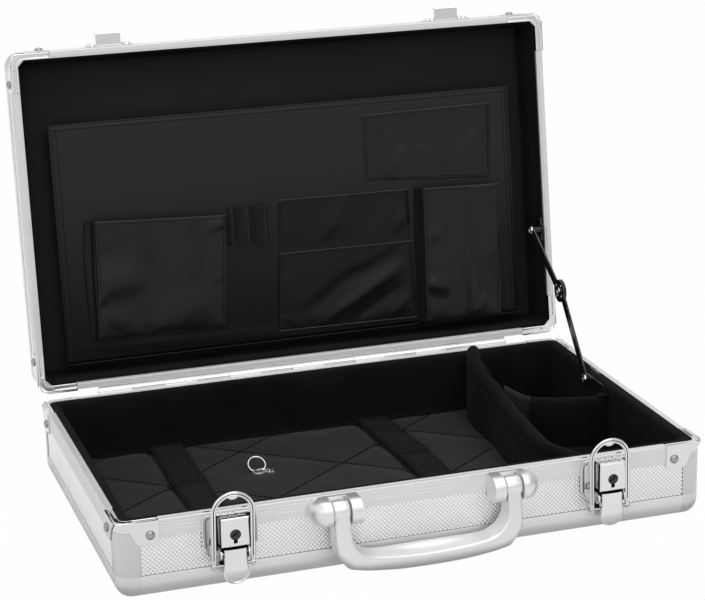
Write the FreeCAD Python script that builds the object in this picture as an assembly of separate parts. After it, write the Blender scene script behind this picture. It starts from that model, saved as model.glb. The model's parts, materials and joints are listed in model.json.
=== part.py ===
"""Open aluminium attache case: one STEP file per sub-part, in millimetres.

Frame: origin on the resting plane under the middle of the base, +X to the right, +Y to the
hinge side, +Z up. The lid is modelled closed, on top of the base, and turned open at the end.
"""
import FreeCAD, Part
import math
import os

V = FreeCAD.Vector

# ---------------------------------------------------------------- driving dimensions
CASE_W = 450.0          # outside, along X
CASE_D = 272.0          # outside, along Y
BASE_H = 59.0           # base shell, resting plane to rim
LID_H = 45.0            # lid shell, rim to outer face
RIM_GAP = 0.4           # between the two rims when shut
OPEN_DEG = 98.0         # how far the lid stands open

WALL_SKIN = 0.8         # outer lip of an edge extrusion
PANEL_T = 3.0           # wall and floor sheet
FIELD_GAP = 2.5         # from a rail's edge to the pressed field of a floor sheet
RAIL_T = 5.0            # edge extrusion, outside to inside
RIM_T = 5.5             # rim extrusion, outside to inside
EDGE_R = 12.0           # rounding of the shell's outer edges
RAIL_H = 18.0           # height of the rounded edge extrusion
RIM_H = 14.0            # height of the rim extrusion
SLOT_IN = 8.0           # how deep a sheet seats in an edge extrusion
CORNER_L = 16.5         # reach of corner posts and ball corners along each side
CAP_L = 31.0            # reach of the chromed rim caps along each side
CAP_H = 8.0             # height of the rim cap bar
CAP_CHAMFER = 5.0       # inner corner of the rim cap
FLANGE_T = 1.0          # plates of the rim cap on the outer faces
TONGUE_H = 0.4          # raised inner lip of the base rim
TONGUE_W = 1.3

LINING_T = 7.5          # foam lining of the base walls
FLOOR_Z = 8.0           # top of the base's velvet floor
LINING_TOP = 57.0
LID_LINING_T = 1.5      # lining of the lid's walls
LID_FACE_H = 30.0       # depth of the lid from its rim to its padded lining

HINGE_Y = CASE_D / 2 + 4.0
HINGE_Z = BASE_H + 1.0
HINGE_HALF = 177.0
KNUCKLES = 13
KNUCKLE_R = 2.6
HINGE_PIN_R = 1.2
RUN_CLEAR = 0.05        # radial clearance of every running fit

LATCH_X = 144.0         # latch centres, left and right of the middle
LEVER_AXIS = (-143.0, 29.0)     # Y, Z of the lever's pivot
BAIL_AXIS = (-145.2, 21.3)      # Y, Z of the bail's pivot, on the lever
BAIL_TILT = 5.0         # the bail stands this far forward of upright
BAIL_LEN = 57.3         # bail pivot to the top of the arch
BAIL_R = 15.9           # outer radius of the arch
BAIL_W = 3.0
BAIL_T = 2.6

HANDLE_AXIS = (-145.6, 50.0)    # Y, Z of the handle's pivot
HANDLE_OUT = 71.9       # arm, outside face from the middle
HANDLE_IN = 59.0        # arm, inside face from the middle
KNUCKLE_HANDLE_R = 7.7

STAY_LOW = (44.5, 52.5)         # Y, Z of the stay's pivot on the base
STAY_ELBOW = (95.6, 113.9)      # Y, Z of the elbow with the lid open
STAY_HIGH = (47.0, 61.8)        # Y, Z of the lid's stay bracket with the lid shut

HALF_W = CASE_W / 2
HALF_D = CASE_D / 2
LID_Z = BASE_H + RIM_GAP        # rim plane of the shut lid
LID_TOP = LID_Z + LID_H


# ---------------------------------------------------------------- helpers
def box(x0, x1, y0, y1, z0, z1):
    return Part.makeBox(x1 - x0, y1 - y0, z1 - z0, V(x0, y0, z0))


def cylinder(radius, start, end):
    axis = V(*end) - V(*start)
    return Part.makeCylinder(radius, axis.Length, V(*start), axis)


def ring_wire(radius, height, sides):
    """Regular outline of many sides round Z, for small turned pieces with few faces."""
    turn = 2 * math.pi / sides
    points = [V(radius * math.cos(turn * (k + 0.5)), radius * math.sin(turn * (k + 0.5)), height)
              for k in range(sides)]
    return Part.makePolygon(points + points[:1])


def bar(radius, start, end, sides=12):
    """Faceted round bar between two points."""
    axis = V(*end) - V(*start)
    solid = Part.Face(ring_wire(radius, 0, sides)).extrude(V(0, 0, axis.Length))
    solid.Placement = FreeCAD.Placement(V(*start), FreeCAD.Rotation(V(0, 0, 1), axis))
    return solid


def bore(radius, start, end, sides=12):
    """Faceted cutter whose flats stand the given radius from the axis: clears a turning pin."""
    return bar(radius / math.cos(math.pi / sides), start, end, sides)


def polygon_face(points):
    return Part.Face(Part.makePolygon([V(*p) for p in points] + [V(*points[0])]))


def extrude_x(yz_points, x0, x1):
    return polygon_face([(x0, y, z) for y, z in yz_points]).extrude(V(x1 - x0, 0, 0))


def extrude_y(xz_points, y0, y1):
    return polygon_face([(x, y0, z) for x, z in xz_points]).extrude(V(0, y1 - y0, 0))


def extrude_z(xy_points, z0, z1):
    return polygon_face([(x, y, z0) for x, y in xy_points]).extrude(V(0, 0, z1 - z0))


def fuse(shapes):
    return shapes[0].multiFuse(shapes[1:]).removeSplitter() if len(shapes) > 1 else shapes[0]


def mirror_x(shape):
    return shape.mirror(V(0, 0, 0), V(1, 0, 0))


def mirror_y(shape):
    return shape.mirror(V(0, 0, 0), V(0, 1, 0))


def four_corners(shape):
    """The front-left piece and its three mirror images."""
    left = [shape, mirror_y(shape)]
    return left + [mirror_x(s) for s in left]


def group(shapes):
    return Part.Compound(shapes)


def lid_place(shape):
    """Turn a shape of the shut lid to its open place about the hinge line."""
    turned = shape.copy()
    turned.rotate(V(0, HINGE_Y, HINGE_Z), V(1, 0, 0), -OPEN_DEG)
    return turned


def flip_to_lid(shape):
    """A base shape, measured from the resting plane, as the same piece of the shut lid."""
    flipped = shape.mirror(V(0, 0, 0), V(0, 0, 1))
    flipped.translate(V(0, 0, LID_TOP))
    return flipped


PARTS = {}


def keep(name, shape):
    PARTS[name] = shape


def keep_lid(name, shape):
    PARTS[name] = lid_place(shape)


# ---------------------------------------------------------------- shell extrusions
def edge_section():
    """Section of the rounded edge extrusion in (inward, up): quarter round with two slots."""
    r, lip, t = EDGE_R, WALL_SKIN, WALL_SKIN + PANEL_T
    floor = RAIL_H - SLOT_IN
    mid = r - r / math.sqrt(2)
    arc = Part.Arc(V(0, r, 0), V(mid, mid, 0), V(r, 0, 0)).toShape()
    tail = [(r, 0), (RAIL_H, 0), (RAIL_H, lip), (floor, lip), (floor, t), (RAIL_H, t),
            (RAIL_H, RAIL_T), (RAIL_T, RAIL_T), (RAIL_T, RAIL_H), (t, RAIL_H), (t, floor),
            (lip, floor), (lip, RAIL_H), (0, RAIL_H), (0, r)]
    edges = [arc] + [Part.LineSegment(V(*a, 0), V(*b, 0)).toShape()
                     for a, b in zip(tail, tail[1:])]
    return Part.Face(Part.Wire(edges))


def rim_section(height, tongue):
    """Section of the rim extrusion in (inward, up), its rim at the given height."""
    low, slot_top = height - RIM_H, height - CAP_H
    lip, t = WALL_SKIN, WALL_SKIN + PANEL_T
    points = [(0, low), (lip, low), (lip, slot_top), (t, slot_top), (t, low), (RIM_T, low)]
    if tongue:
        points += [(RIM_T, height + TONGUE_H), (RIM_T - TONGUE_W, height + TONGUE_H),
                   (RIM_T - TONGUE_W, height)]
    else:
        rebate = TONGUE_W + 0.2
        points += [(RIM_T, height - TONGUE_H - 0.5), (RIM_T - rebate, height - TONGUE_H - 0.5),
                   (RIM_T - rebate, height)]
    points += [(0.6, height), (0, height - 0.6)]
    for line in (2.6, 5.2, 7.8):
        z = height - line
        points += [(0, z), (0.3, z - 0.3), (0, z - 0.6)]
    return polygon_face([(u, v, 0) for u, v in points])


def run_front(section, half_length):
    """Sweep an (inward, up) section along the front edge."""
    face = section.copy()
    face.rotate(V(0, 0, 0), V(1, 1, 1), 120)            # u -> Y, v -> Z, sweep along X
    face.translate(V(-half_length, -HALF_D, 0))
    return face.extrude(V(2 * half_length, 0, 0))


def run_left(section, half_length):
    """Sweep an (inward, up) section along the left edge."""
    face = section.copy()
    face.rotate(V(0, 0, 0), V(1, 0, 0), 90)             # u -> X, v -> Z, sweep along Y
    face.translate(V(-HALF_W, -half_length, 0))
    solid = face.extrude(V(0, 2 * half_length, 0))
    return solid


def four_runs(section):
    front = run_front(section, HALF_W - CORNER_L)
    left = run_left(section, HALF_D - CORNER_L)
    return [front, mirror_y(front), left, mirror_x(left)]


def rim_runs(height, tongue):
    """Rim extrusions on four sides, stepped down at the ends to pass under the rim caps."""
    runs = four_runs(rim_section(height, tongue))
    reach_x, reach_y = HALF_W - CAP_L, HALF_D - CAP_L
    z0, z1 = height - CAP_H, height + TONGUE_H + 1
    ends = [box(s * reach_x if s > 0 else -HALF_W - 1, HALF_W + 1 if s > 0 else -reach_x,
                -HALF_D - 1, HALF_D + 1, z0, z1) for s in (-1, 1)]
    ends += [box(-HALF_W - 1, HALF_W + 1, s * reach_y if s > 0 else -HALF_D - 1,
                 HALF_D + 1 if s > 0 else -reach_y, z0, z1) for s in (-1, 1)]
    front_back = [r.cut(ends[0]).cut(ends[1]) for r in runs[:2]]
    sides = [r.cut(ends[2]).cut(ends[3]) for r in runs[2:]]
    return front_back + sides


def corner_post(z0, z1):
    """Upright rounded corner extrusion; its section is the edge extrusion's, in plan."""
    face = edge_section()
    face.translate(V(-HALF_W, -HALF_D, z0))
    post = face.extrude(V(0, 0, z1 - z0))
    trim = box(-HALF_W + CORNER_L, 0, -HALF_D - 1, 0, z0, z1)
    return post.cut(trim).cut(box(-HALF_W - 1, 0, -HALF_D + CORNER_L, 0, z0, z1))


def ball_corner():
    """Three-way rounded corner shoe at the foot of a corner post."""
    x0, y0 = -HALF_W, -HALF_D
    block = box(x0, x0 + CORNER_L, y0, y0 + CORNER_L, 0, RAIL_H)
    outer = []
    for edge in block.Edges:
        mid = edge.BoundBox.Center
        on = [abs(mid.x - x0) < 0.01, abs(mid.y - y0) < 0.01, abs(mid.z) < 0.01]
        if sum(on) == 2:
            outer.append(edge)
    rounded = block.makeFillet(EDGE_R, outer)
    inner = box(x0 + RAIL_T, x0 + CORNER_L, y0 + RAIL_T, y0 + CORNER_L, RAIL_T, RAIL_H)
    return rounded.cut(inner)


def wall_panels(z_foot, z_rim):
    """Four textured wall sheets seated in the extrusions, front, back, left and right."""
    slot = RAIL_H - SLOT_IN

    def sheet(half_side):
        wide, narrow = half_side - slot, half_side - CORNER_L
        top = z_rim - CAP_H
        return [(-narrow, z_foot + slot), (narrow, z_foot + slot), (narrow, z_foot + RAIL_H),
                (wide, z_foot + RAIL_H), (wide, top), (-wide, top), (-wide, z_foot + RAIL_H),
                (-narrow, z_foot + RAIL_H)]
    front = extrude_y(sheet(HALF_W), -HALF_D + WALL_SKIN, -HALF_D + WALL_SKIN + PANEL_T)
    left = extrude_x(sheet(HALF_D), -HALF_W + WALL_SKIN, -HALF_W + WALL_SKIN + PANEL_T)
    return [front, mirror_y(front), left, mirror_x(left)]


def big_panel():
    """Floor sheet of the base, also the top sheet of the lid, seated in the edge slots.

    Its field is pressed out flush with the rails, so that the case stands flat.
    """
    slot = RAIL_H - SLOT_IN
    wx, nx, wy, ny = HALF_W - slot, HALF_W - CORNER_L, HALF_D - slot, HALF_D - CORNER_L
    outline = [(-nx, -wy), (nx, -wy), (nx, -ny), (wx, -ny), (wx, ny), (nx, ny), (nx, wy),
               (-nx, wy), (-nx, ny), (-wx, ny), (-wx, -ny), (-nx, -ny)]
    sheet = extrude_z(outline, WALL_SKIN, WALL_SKIN + PANEL_T)
    fx, fy = HALF_W - RAIL_H - FIELD_GAP, HALF_D - RAIL_H - FIELD_GAP
    sheet = sheet.cut(box(-fx + PANEL_T, fx - PANEL_T, -fy + PANEL_T, fy - PANEL_T,
                          PANEL_T, WALL_SKIN + PANEL_T))
    return sheet.fuse(box(-fx, fx, -fy, fy, 0, WALL_SKIN)).removeSplitter()


# ---------------------------------------------------------------- rim caps and rivets
RIVET_X = HALF_W - 24.5         # flange rivet on the front and back faces
RIVET_Y = HALF_D - 24.5         # flange rivet on the left and right faces
RIVET_DROP = 10.5               # below the rim
RIVET_R = 3.4


def flange_outline(far):
    """Front flange of a rim cap in (along the side, drop): S-curved toward the corner."""
    foot = 17.5
    return [(far, 0), (far, foot - 1.5), (far - 1.5, foot), (far - 15, foot),
            (far - 17.3, foot - 2.5), (far - 19.5, foot - 8.0), (far - 22.5, foot - 12.5),
            (far - 25.5, foot - 14.5), (far - 25.5, 0)]


def rim_cap(height):
    """Cast corner cap of the rim: bar with a seal channel, ridge and two riveted flanges."""
    x0, y0 = -HALF_W, -HALF_D
    z0 = height - CAP_H
    outer = box(x0, x0 + CAP_L, y0, y0 + CAP_L, z0, height)
    corner = [e for e in outer.Edges
              if abs(e.BoundBox.Center.x - x0) < 0.01 and abs(e.BoundBox.Center.y - y0) < 0.01]
    outer = outer.makeFillet(EDGE_R, corner)
    inner = extrude_z([(x0 + RIM_T + CAP_CHAMFER, y0 + RIM_T), (x0 + CAP_L, y0 + RIM_T),
                       (x0 + CAP_L, y0 + CAP_L), (x0 + RIM_T, y0 + CAP_L),
                       (x0 + RIM_T, y0 + RIM_T + CAP_CHAMFER)], z0, height)
    bar = outer.cut(inner)
    for channel in (box(x0 + 13, x0 + CAP_L, y0 + 1.9, y0 + 3.9, height - 1.4, height),
                    box(x0 + 1.9, x0 + 3.9, y0 + 13, y0 + CAP_L, height - 1.4, height)):
        bar = bar.cut(channel)
    pts_x = [(x0 + u, height - w) for u, w in flange_outline(CAP_L)]
    pts_y = [(y0 + u, height - w) for u, w in flange_outline(CAP_L)]
    front = extrude_y(pts_x, y0 - FLANGE_T, y0)
    side = extrude_x(pts_y, x0 - FLANGE_T, x0)
    return fuse([bar, front, side])


def rivet_head(radius, rise):
    """Rivet head that stands out along -Y from the plane Y = 0: a flat-topped cone."""
    head = Part.makeLoft([ring_wire(radius, 0, 12), ring_wire(radius * 0.55, rise, 12)], True, True)
    head.rotate(V(0, 0, 0), V(1, 0, 0), 90)
    return head


def rim_rivets(height):
    """Two rivets per rim cap: one on the long face, one on the short face."""
    rivets = []
    for sx in (-1, 1):
        for sy in (-1, 1):
            long_face = rivet_head(RIVET_R, 2.0)
            short_face = long_face.copy()
            long_face.rotate(V(0, 0, 0), V(0, 0, 1), 0 if sy < 0 else 180)
            long_face.translate(V(sx * RIVET_X, sy * (HALF_D + FLANGE_T), height - RIVET_DROP))
            short_face.rotate(V(0, 0, 0), V(0, 0, 1), -90 if sx < 0 else 90)
            short_face.translate(V(sx * (HALF_W + FLANGE_T), sy * RIVET_Y, height - RIVET_DROP))
            rivets += [long_face, short_face]
    return rivets


# ---------------------------------------------------------------- base shell
def build_base_shell():
    rails = four_runs(edge_section())
    keep("base_floor_panel", big_panel())
    keep("base_wall_panels", group(wall_panels(0, BASE_H)))
    keep("base_edge_rails", group(rails))
    keep("base_rim_rails", group(rim_runs(BASE_H, True)))
    keep("base_corner_posts", group(four_corners(corner_post(RAIL_H, BASE_H - CAP_H))))
    keep("base_ball_corners", group(four_corners(ball_corner())))
    keep("base_rim_caps", group(four_corners(rim_cap(BASE_H))))
    keep("base_rim_rivets", group(rim_rivets(BASE_H)))


def build_lid_shell():
    """The lid is the base's construction upside down, shallower, with a rebated rim."""
    height = LID_H
    pieces = {
        "lid_top_panel": big_panel(),
        "lid_edge_rails": group(four_runs(edge_section())),
        "lid_rim_rails": group(rim_runs(height, False)),
        "lid_corner_posts": group(four_corners(corner_post(RAIL_H, height - CAP_H))),
        "lid_ball_corners": group(four_corners(ball_corner())),
        "lid_rim_caps": group(four_corners(rim_cap(height))),
        "lid_rim_rivets": group(rim_rivets(height)),
        "lid_wall_panels": group(wall_panels(0, height)),
    }
    for name, shape in pieces.items():
        keep_lid(name, flip_to_lid(shape))


# ---------------------------------------------------------------- base interior
DIVIDER_T = 11.0
DIVIDER_TOP = 61.5
# The curved divider's middle line, from the back lining to the front lining.
DIVIDER_LINE = [(139.0, 122.6), (131.0, 78.0), (130.0, 28.0), (120.0, -38.0), (118.0, -85.0),
                (128.0, -122.6)]
CROSS_LEFT = (138.0, 26.0)
CROSS_RIGHT = (211.7, 7.0)
CROSS_T = 8.0
CROSS_TOP = 50.0
PAD_TOP = 12.0
STRAP_T = 1.4
STRAP_W = 27.0


def base_tray():
    """Velvet-covered foam tray: floor and four walls, relieved around the rim caps."""
    x, y, t = HALF_W - RIM_T, HALF_D - RIM_T, LINING_T
    tray = box(-x, x, -y, y, RAIL_T, LINING_TOP)
    tray = tray.cut(box(-x + t, x - t, -y + t, y - t, FLOOR_Z, LINING_TOP + 1))
    return tray


def curved_band(offset_a, offset_b, z0, z1):
    """Solid between two offsets (to +X) of the divider's middle line."""
    spline = Part.BSplineCurve()
    spline.interpolate([V(x, y, z0) for x, y in DIVIDER_LINE])
    first, last = spline.FirstParameter, spline.LastParameter

    def side(offset):
        points = []
        for k in range(25):
            u = first + (last - first) * k / 24
            tangent = spline.tangent(u)[0]
            normal = V(-tangent.y, tangent.x, 0).normalize()
            p = spline.value(u) + normal * offset
            points.append((p.x, max(-122.6, min(122.6, p.y))))
        return points
    return extrude_z(side(offset_a) + side(offset_b)[::-1], z0, z1)


def build_base_interior():
    caps = four_corners(rim_cap(BASE_H))
    tray = base_tray()
    for cap in caps:
        tray = tray.cut(cap)
    keep("base_lining", tray)

    divider = curved_band(-DIVIDER_T / 2, DIVIDER_T / 2, FLOOR_Z, DIVIDER_TOP)
    keep("curved_divider", divider)

    (xa, ya), (xb, yb) = CROSS_LEFT, CROSS_RIGHT
    half = CROSS_T / 2
    cross = extrude_z([(xa, ya - half), (xb, yb - half), (xb, yb + half), (xa, ya + half)],
                      FLOOR_Z, CROSS_TOP)
    keep("cross_divider", cross.cut(divider))

    pad_x, pad_y = HALF_W - RIM_T - LINING_T - 0.3, HALF_D - RIM_T - LINING_T - 0.3
    right = extrude_z([(DIVIDER_LINE[0][0], pad_y + 1), (pad_x + 1, pad_y + 1),
                       (pad_x + 1, -pad_y - 1), (DIVIDER_LINE[-1][0], -pad_y - 1)],
                      FLOOR_Z, PAD_TOP)
    pad = box(-pad_x, 150.0, -pad_y, pad_y, FLOOR_Z, PAD_TOP)
    beyond = curved_band(DIVIDER_T / 2, 60.0, FLOOR_Z, PAD_TOP)
    clear = curved_band(-DIVIDER_T / 2 - 0.3, DIVIDER_T / 2, FLOOR_Z, PAD_TOP)
    pad = pad.cut(clear).cut(beyond).cut(right).cut(divider)
    pad = max(pad.Solids, key=lambda s: s.Volume)
    keep("floor_pad", pad)

    straps = []
    for back_x, front_x in ((-129.0, -131.0), (49.0, 59.0)):
        half = STRAP_W / 2
        strap = extrude_z([(back_x - half, pad_y - 1), (front_x - half, -pad_y + 1),
                           (front_x + half, -pad_y + 1), (back_x + half, pad_y - 1)],
                          PAD_TOP, PAD_TOP + STRAP_T)
        fold_y = 36.0
        mid_x = back_x + (front_x - back_x) * (pad_y - fold_y) / (2 * pad_y)
        fold = box(mid_x - half - 0.8, mid_x + half + 0.8, fold_y, fold_y + 13,
                   PAD_TOP, PAD_TOP + 2.6 * STRAP_T)
        straps.append(fuse([strap, fold]))
    keep("floor_straps", group(straps))


# ---------------------------------------------------------------- lid interior
PANEL_H = 20.0          # organiser face, below the lid's rim
PANEL_BOARD = 2.5
PANEL_X = 197.5
PANEL_Y0, PANEL_Y1 = -76.0, 119.5
PATCH = 0.9             # a flat sewn pocket's thickness


def lid_box(x0, x1, y0, y1, h0, h1):
    """Box in the shut lid, its heights counted up from the lid's rim plane."""
    return box(x0, x1, y0, y1, LID_Z + h0, LID_Z + h1)


def hollow_pocket(x0, x1, y0, y1, h_face):
    """Gusseted pocket on the organiser: face, two side gussets and a foot, open at its mouth."""
    shell = lid_box(x0, x1, y0, y1, h_face, PANEL_H)
    return shell.cut(lid_box(x0 + 1.2, x1 - 1.2, y0 - 1, y1 - 1.2, h_face + 1.2, PANEL_H + 1))


def build_lid_interior():
    x, y = HALF_W - RIM_T, HALF_D - RIM_T
    lining = lid_box(-x, x, -y, y, TONGUE_H + 1.1, LID_H - RAIL_T)
    t = LID_LINING_T
    lining = lining.cut(lid_box(-x + t, x - t, -y + t, y - t, 0, LID_FACE_H))
    for cap in four_corners(rim_cap(LID_H)):
        lining = lining.cut(flip_to_lid(cap))
    keep_lid("lid_lining", lining)

    board = lid_box(-PANEL_X, PANEL_X, PANEL_Y0, PANEL_Y1, PANEL_H, PANEL_H + PANEL_BOARD)
    keep_lid("organizer_panel", board)

    h0, h1 = PANEL_H + PANEL_BOARD, LID_FACE_H
    gusset = [lid_box(-PANEL_X, -PANEL_X + 2, PANEL_Y0 + 1, PANEL_Y1, h0, h1),
              lid_box(PANEL_X - 2, PANEL_X, PANEL_Y0 + 1, PANEL_Y1, h0, h1),
              lid_box(-PANEL_X, PANEL_X, PANEL_Y1 - 2, PANEL_Y1, h0, h1)]
    keep_lid("organizer_gusset", fuse(gusset))

    keep_lid("card_pocket", lid_box(67.0, 181.0, -63.0, -2.0, PANEL_H - PATCH, PANEL_H))
    keep_lid("left_pocket", hollow_pocket(-175.0, -59.0, 4.0, 101.0, 10.0))
    centre = fuse([lid_box(-13.0, 104.0, 2.5, 113.0, PANEL_H - PATCH, PANEL_H),
                   lid_box(-13.0, 104.0, 46.5, 113.0, PANEL_H - 2 * PATCH, PANEL_H)])
    keep_lid("centre_pocket", centre)
    keep_lid("right_pocket", hollow_pocket(110.0, 185.0, 3.5, 118.5, 10.0))

    loops = []
    for mid in (-45.5, -28.5):
        z = LID_Z + PANEL_H
        ring = bar(7.6, (mid, 4.0, z), (mid, 34.0, z), 24)
        ring = ring.cut(bore(6.6, (mid, 3.0, z), (mid, 35.0, z), 24))
        loops.append(ring.cut(lid_box(-70, 0, 0, 40, PANEL_H, PANEL_H + 10)))
    keep_lid("pen_loops", group(loops))


# ---------------------------------------------------------------- hinge
def knuckle_spans(parity):
    pitch = 2 * HINGE_HALF / KNUCKLES
    return [(-HINGE_HALF + k * pitch + 0.1, -HINGE_HALF + (k + 1) * pitch - 0.1)
            for k in range(parity, KNUCKLES, 2)]


def hinge_leaf(parity, z_leaf0, z_leaf1, z_web0, z_web1):
    leaf = box(-HINGE_HALF, HINGE_HALF, HALF_D, HALF_D + 1.2, z_leaf0, z_leaf1)
    pieces = [leaf]
    for x0, x1 in knuckle_spans(parity):
        pieces.append(box(x0, x1, HALF_D + 0.6, HINGE_Y - 1.0, z_web0, z_web1))
        pieces.append(bar(KNUCKLE_R, (x0, HINGE_Y, HINGE_Z), (x1, HINGE_Y, HINGE_Z)))
    return fuse(pieces)


def build_hinge():
    start, end = (-HINGE_HALF - 1, HINGE_Y, HINGE_Z), (HINGE_HALF + 1, HINGE_Y, HINGE_Z)
    base_leaf = hinge_leaf(0, BASE_H - 16, BASE_H, HINGE_Z - KNUCKLE_R, HINGE_Z - 0.3)
    lid_leaf = hinge_leaf(1, LID_Z + 0.4, LID_Z + 17, HINGE_Z + 0.3, HINGE_Z + KNUCKLE_R)
    keep("hinge_base_leaf", base_leaf.cut(bar(HINGE_PIN_R, start, end)))
    keep_lid("hinge_lid_leaf", lid_leaf.cut(bore(HINGE_PIN_R + RUN_CLEAR, start, end)))
    keep("hinge_pin", bar(HINGE_PIN_R, (-HINGE_HALF - 0.8, HINGE_Y, HINGE_Z),
                          (HINGE_HALF + 0.8, HINGE_Y, HINGE_Z)))


# ---------------------------------------------------------------- latches
PLATE_Y = -HALF_D - 1.2         # front of the latch's back plate
LOCK_HALF = 10.2
LOCK_Z0, LOCK_Z1 = 35.4, 57.0
LOCK_Y = -148.0
CYL_R = 4.0
CYL_Z = 44.5
PADDLE_HALF = 8.8
PADDLE_TOP = 33.2
PADDLE_FOOT = 8.6
PADDLE_Y = -147.3
PIN_R = 1.3
EAR_IN, EAR_OUT = 9.6, 10.8
LOCK_SHIFT = 1.4        # lock and lever stand this far right of their plate's middle


def latch_plate():
    """Pressed back plate with a turned-up border and two ears for the lever's pin."""
    outline = [(-20, 34), (-20, 53), (-18.5, 56), (-15.5, 57.5), (15.5, 57.5), (18.5, 56),
               (20, 53), (20, 34), (12.5, 21), (-12.5, 21)]
    plate = extrude_y(outline, PLATE_Y, -HALF_D)
    inset = [(x * 0.93, 38 + (z - 38) * 0.93) for x, z in outline]
    border = extrude_y(outline, PLATE_Y - 1.2, PLATE_Y)
    border = border.cut(extrude_y(inset, PLATE_Y - 2, PLATE_Y + 1))
    border = border.cut(box(-12.3, 12.3, PLATE_Y - 2, PLATE_Y, 20, 26))
    border = border.cut(box(LOCK_SHIFT - LOCK_HALF - 0.2, LOCK_SHIFT + LOCK_HALF + 0.2,
                            PLATE_Y - 2, PLATE_Y, 50, 60))
    ay, az = LEVER_AXIS
    ears = []
    for s in (-1, 1):
        x0, x1 = sorted((LOCK_SHIFT + s * EAR_IN, LOCK_SHIFT + s * EAR_OUT))
        ears.append(box(x0, x1, ay, PLATE_Y, az - 4.3, az + 4.3))
        ears.append(bar(4.3, (x0, ay, az), (x1, ay, az)))
    solid = fuse([plate, border] + ears)
    return solid.cut(bar(PIN_R, (-14, ay, az), (14, ay, az)))


def lock_housing():
    """Lock body with eased front edges, a bore for the cylinder and the keyway's foot."""
    body = box(-LOCK_HALF, LOCK_HALF, LOCK_Y, PLATE_Y, LOCK_Z0, LOCK_Z1)
    front = [e for e in body.Edges if e.BoundBox.YMax < LOCK_Y + 0.01]
    body = body.makeChamfer(0.7, front)
    body = body.cut(cylinder(CYL_R, (0, LOCK_Y - 1, CYL_Z), (0, PLATE_Y - 1.5, CYL_Z)))
    return body.cut(box(-1.4, 1.4, LOCK_Y - 1, LOCK_Y + 3, CYL_Z - CYL_R - 2.6, CYL_Z))


def lock_cylinder():
    """Lock barrel, sunk a little behind the housing's face, with a slanted key slot."""
    barrel = cylinder(CYL_R - RUN_CLEAR, (0, LOCK_Y + 0.7, CYL_Z), (0, PLATE_Y - 1.6, CYL_Z))
    slot = box(-2.9, 2.9, LOCK_Y, LOCK_Y + 4, CYL_Z - 0.6, CYL_Z + 0.6)
    slot.rotate(V(0, 0, CYL_Z), V(0, 1, 0), -40)
    return barrel.cut(slot)


def paddle_wire(inset, y):
    """Front outline of the lever in the plane y: straight flanks into a round foot."""
    w, foot, top = PADDLE_HALF - inset, PADDLE_FOOT + inset, PADDLE_TOP - inset
    left, right = V(-w, y, PADDLE_FOOT + 8.0), V(w, y, PADDLE_FOOT + 8.0)
    return Part.Wire([Part.LineSegment(V(-w, y, top), left).toShape(),
                      Part.Arc(left, V(0, y, foot), right).toShape(),
                      Part.LineSegment(right, V(w, y, top)).toShape(),
                      Part.LineSegment(V(w, y, top), V(-w, y, top)).toShape()])


def lever():
    """Paddle with two cheeks that take the lever's pin and carry the bail's pin."""
    ay, az = LEVER_AXIS
    by, bz = BAIL_AXIS
    bevel = Part.makeLoft([paddle_wire(0.6, PADDLE_Y), paddle_wire(0, PADDLE_Y + 0.5)],
                          True, True)
    plate = Part.Face(paddle_wire(0, PADDLE_Y + 0.5)).extrude(V(0, 1.1, 0))
    skin = fuse([bevel, plate])
    pieces = [skin]
    for s in (-1, 1):
        x0, x1 = sorted((s * (PADDLE_HALF - 1.4), s * PADDLE_HALF))
        pieces.append(extrude_x([(PADDLE_Y + 1.0, PADDLE_TOP - 0.4), (ay + 1.6, az + 3.0),
                                 (ay + 3.0, az - 1.0), (by + 2.4, bz - 2.4),
                                 (PADDLE_Y + 1.0, bz - 5.0)], x0, x1))
    solid = fuse(pieces)
    solid = solid.cut(bore(PIN_R + RUN_CLEAR, (-12, ay, az), (12, ay, az)))
    return solid.cut(bore(PIN_R + RUN_CLEAR, (-12, by, bz), (12, by, bz)))


def bail_ring():
    """Sprung wire loop: two flat legs with eyes, a round arch and a small hooking tab."""
    reach = BAIL_LEN - BAIL_R
    inner = BAIL_R - BAIL_W
    arch = cylinder(BAIL_R, (0, -BAIL_T / 2, reach), (0, BAIL_T / 2, reach))
    arch = arch.cut(cylinder(inner, (0, -BAIL_T, reach), (0, BAIL_T, reach)))
    arch = arch.cut(box(-BAIL_R - 1, BAIL_R + 1, -BAIL_T, BAIL_T, reach - BAIL_R - 1, reach))
    tab = extrude_y([(-4.0, BAIL_LEN - BAIL_W + 0.6), (4.0, BAIL_LEN - BAIL_W + 0.6),
                     (2.6, BAIL_LEN - BAIL_W - 1.8), (-2.6, BAIL_LEN - BAIL_W - 1.8)],
                    -BAIL_T / 2, BAIL_T / 2)
    pieces = [arch, tab]
    for s in (-1, 1):
        x0, x1 = sorted((s * inner, s * BAIL_R))
        pieces.append(box(x0, x1, -BAIL_T / 2, BAIL_T / 2, 0, reach))
        pieces.append(bar(2.3, (x0, 0, 0), (x1, 0, 0)))
    ring = fuse(pieces)
    rounded = [e for e in ring.Edges
               if e.Length > 20 and abs(abs(e.BoundBox.Center.y) - BAIL_T / 2) < 0.01]
    ring = ring.makeChamfer(0.6, rounded)
    return ring.cut(bore(PIN_R + RUN_CLEAR, (-20, 0, 0), (20, 0, 0)))


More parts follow.
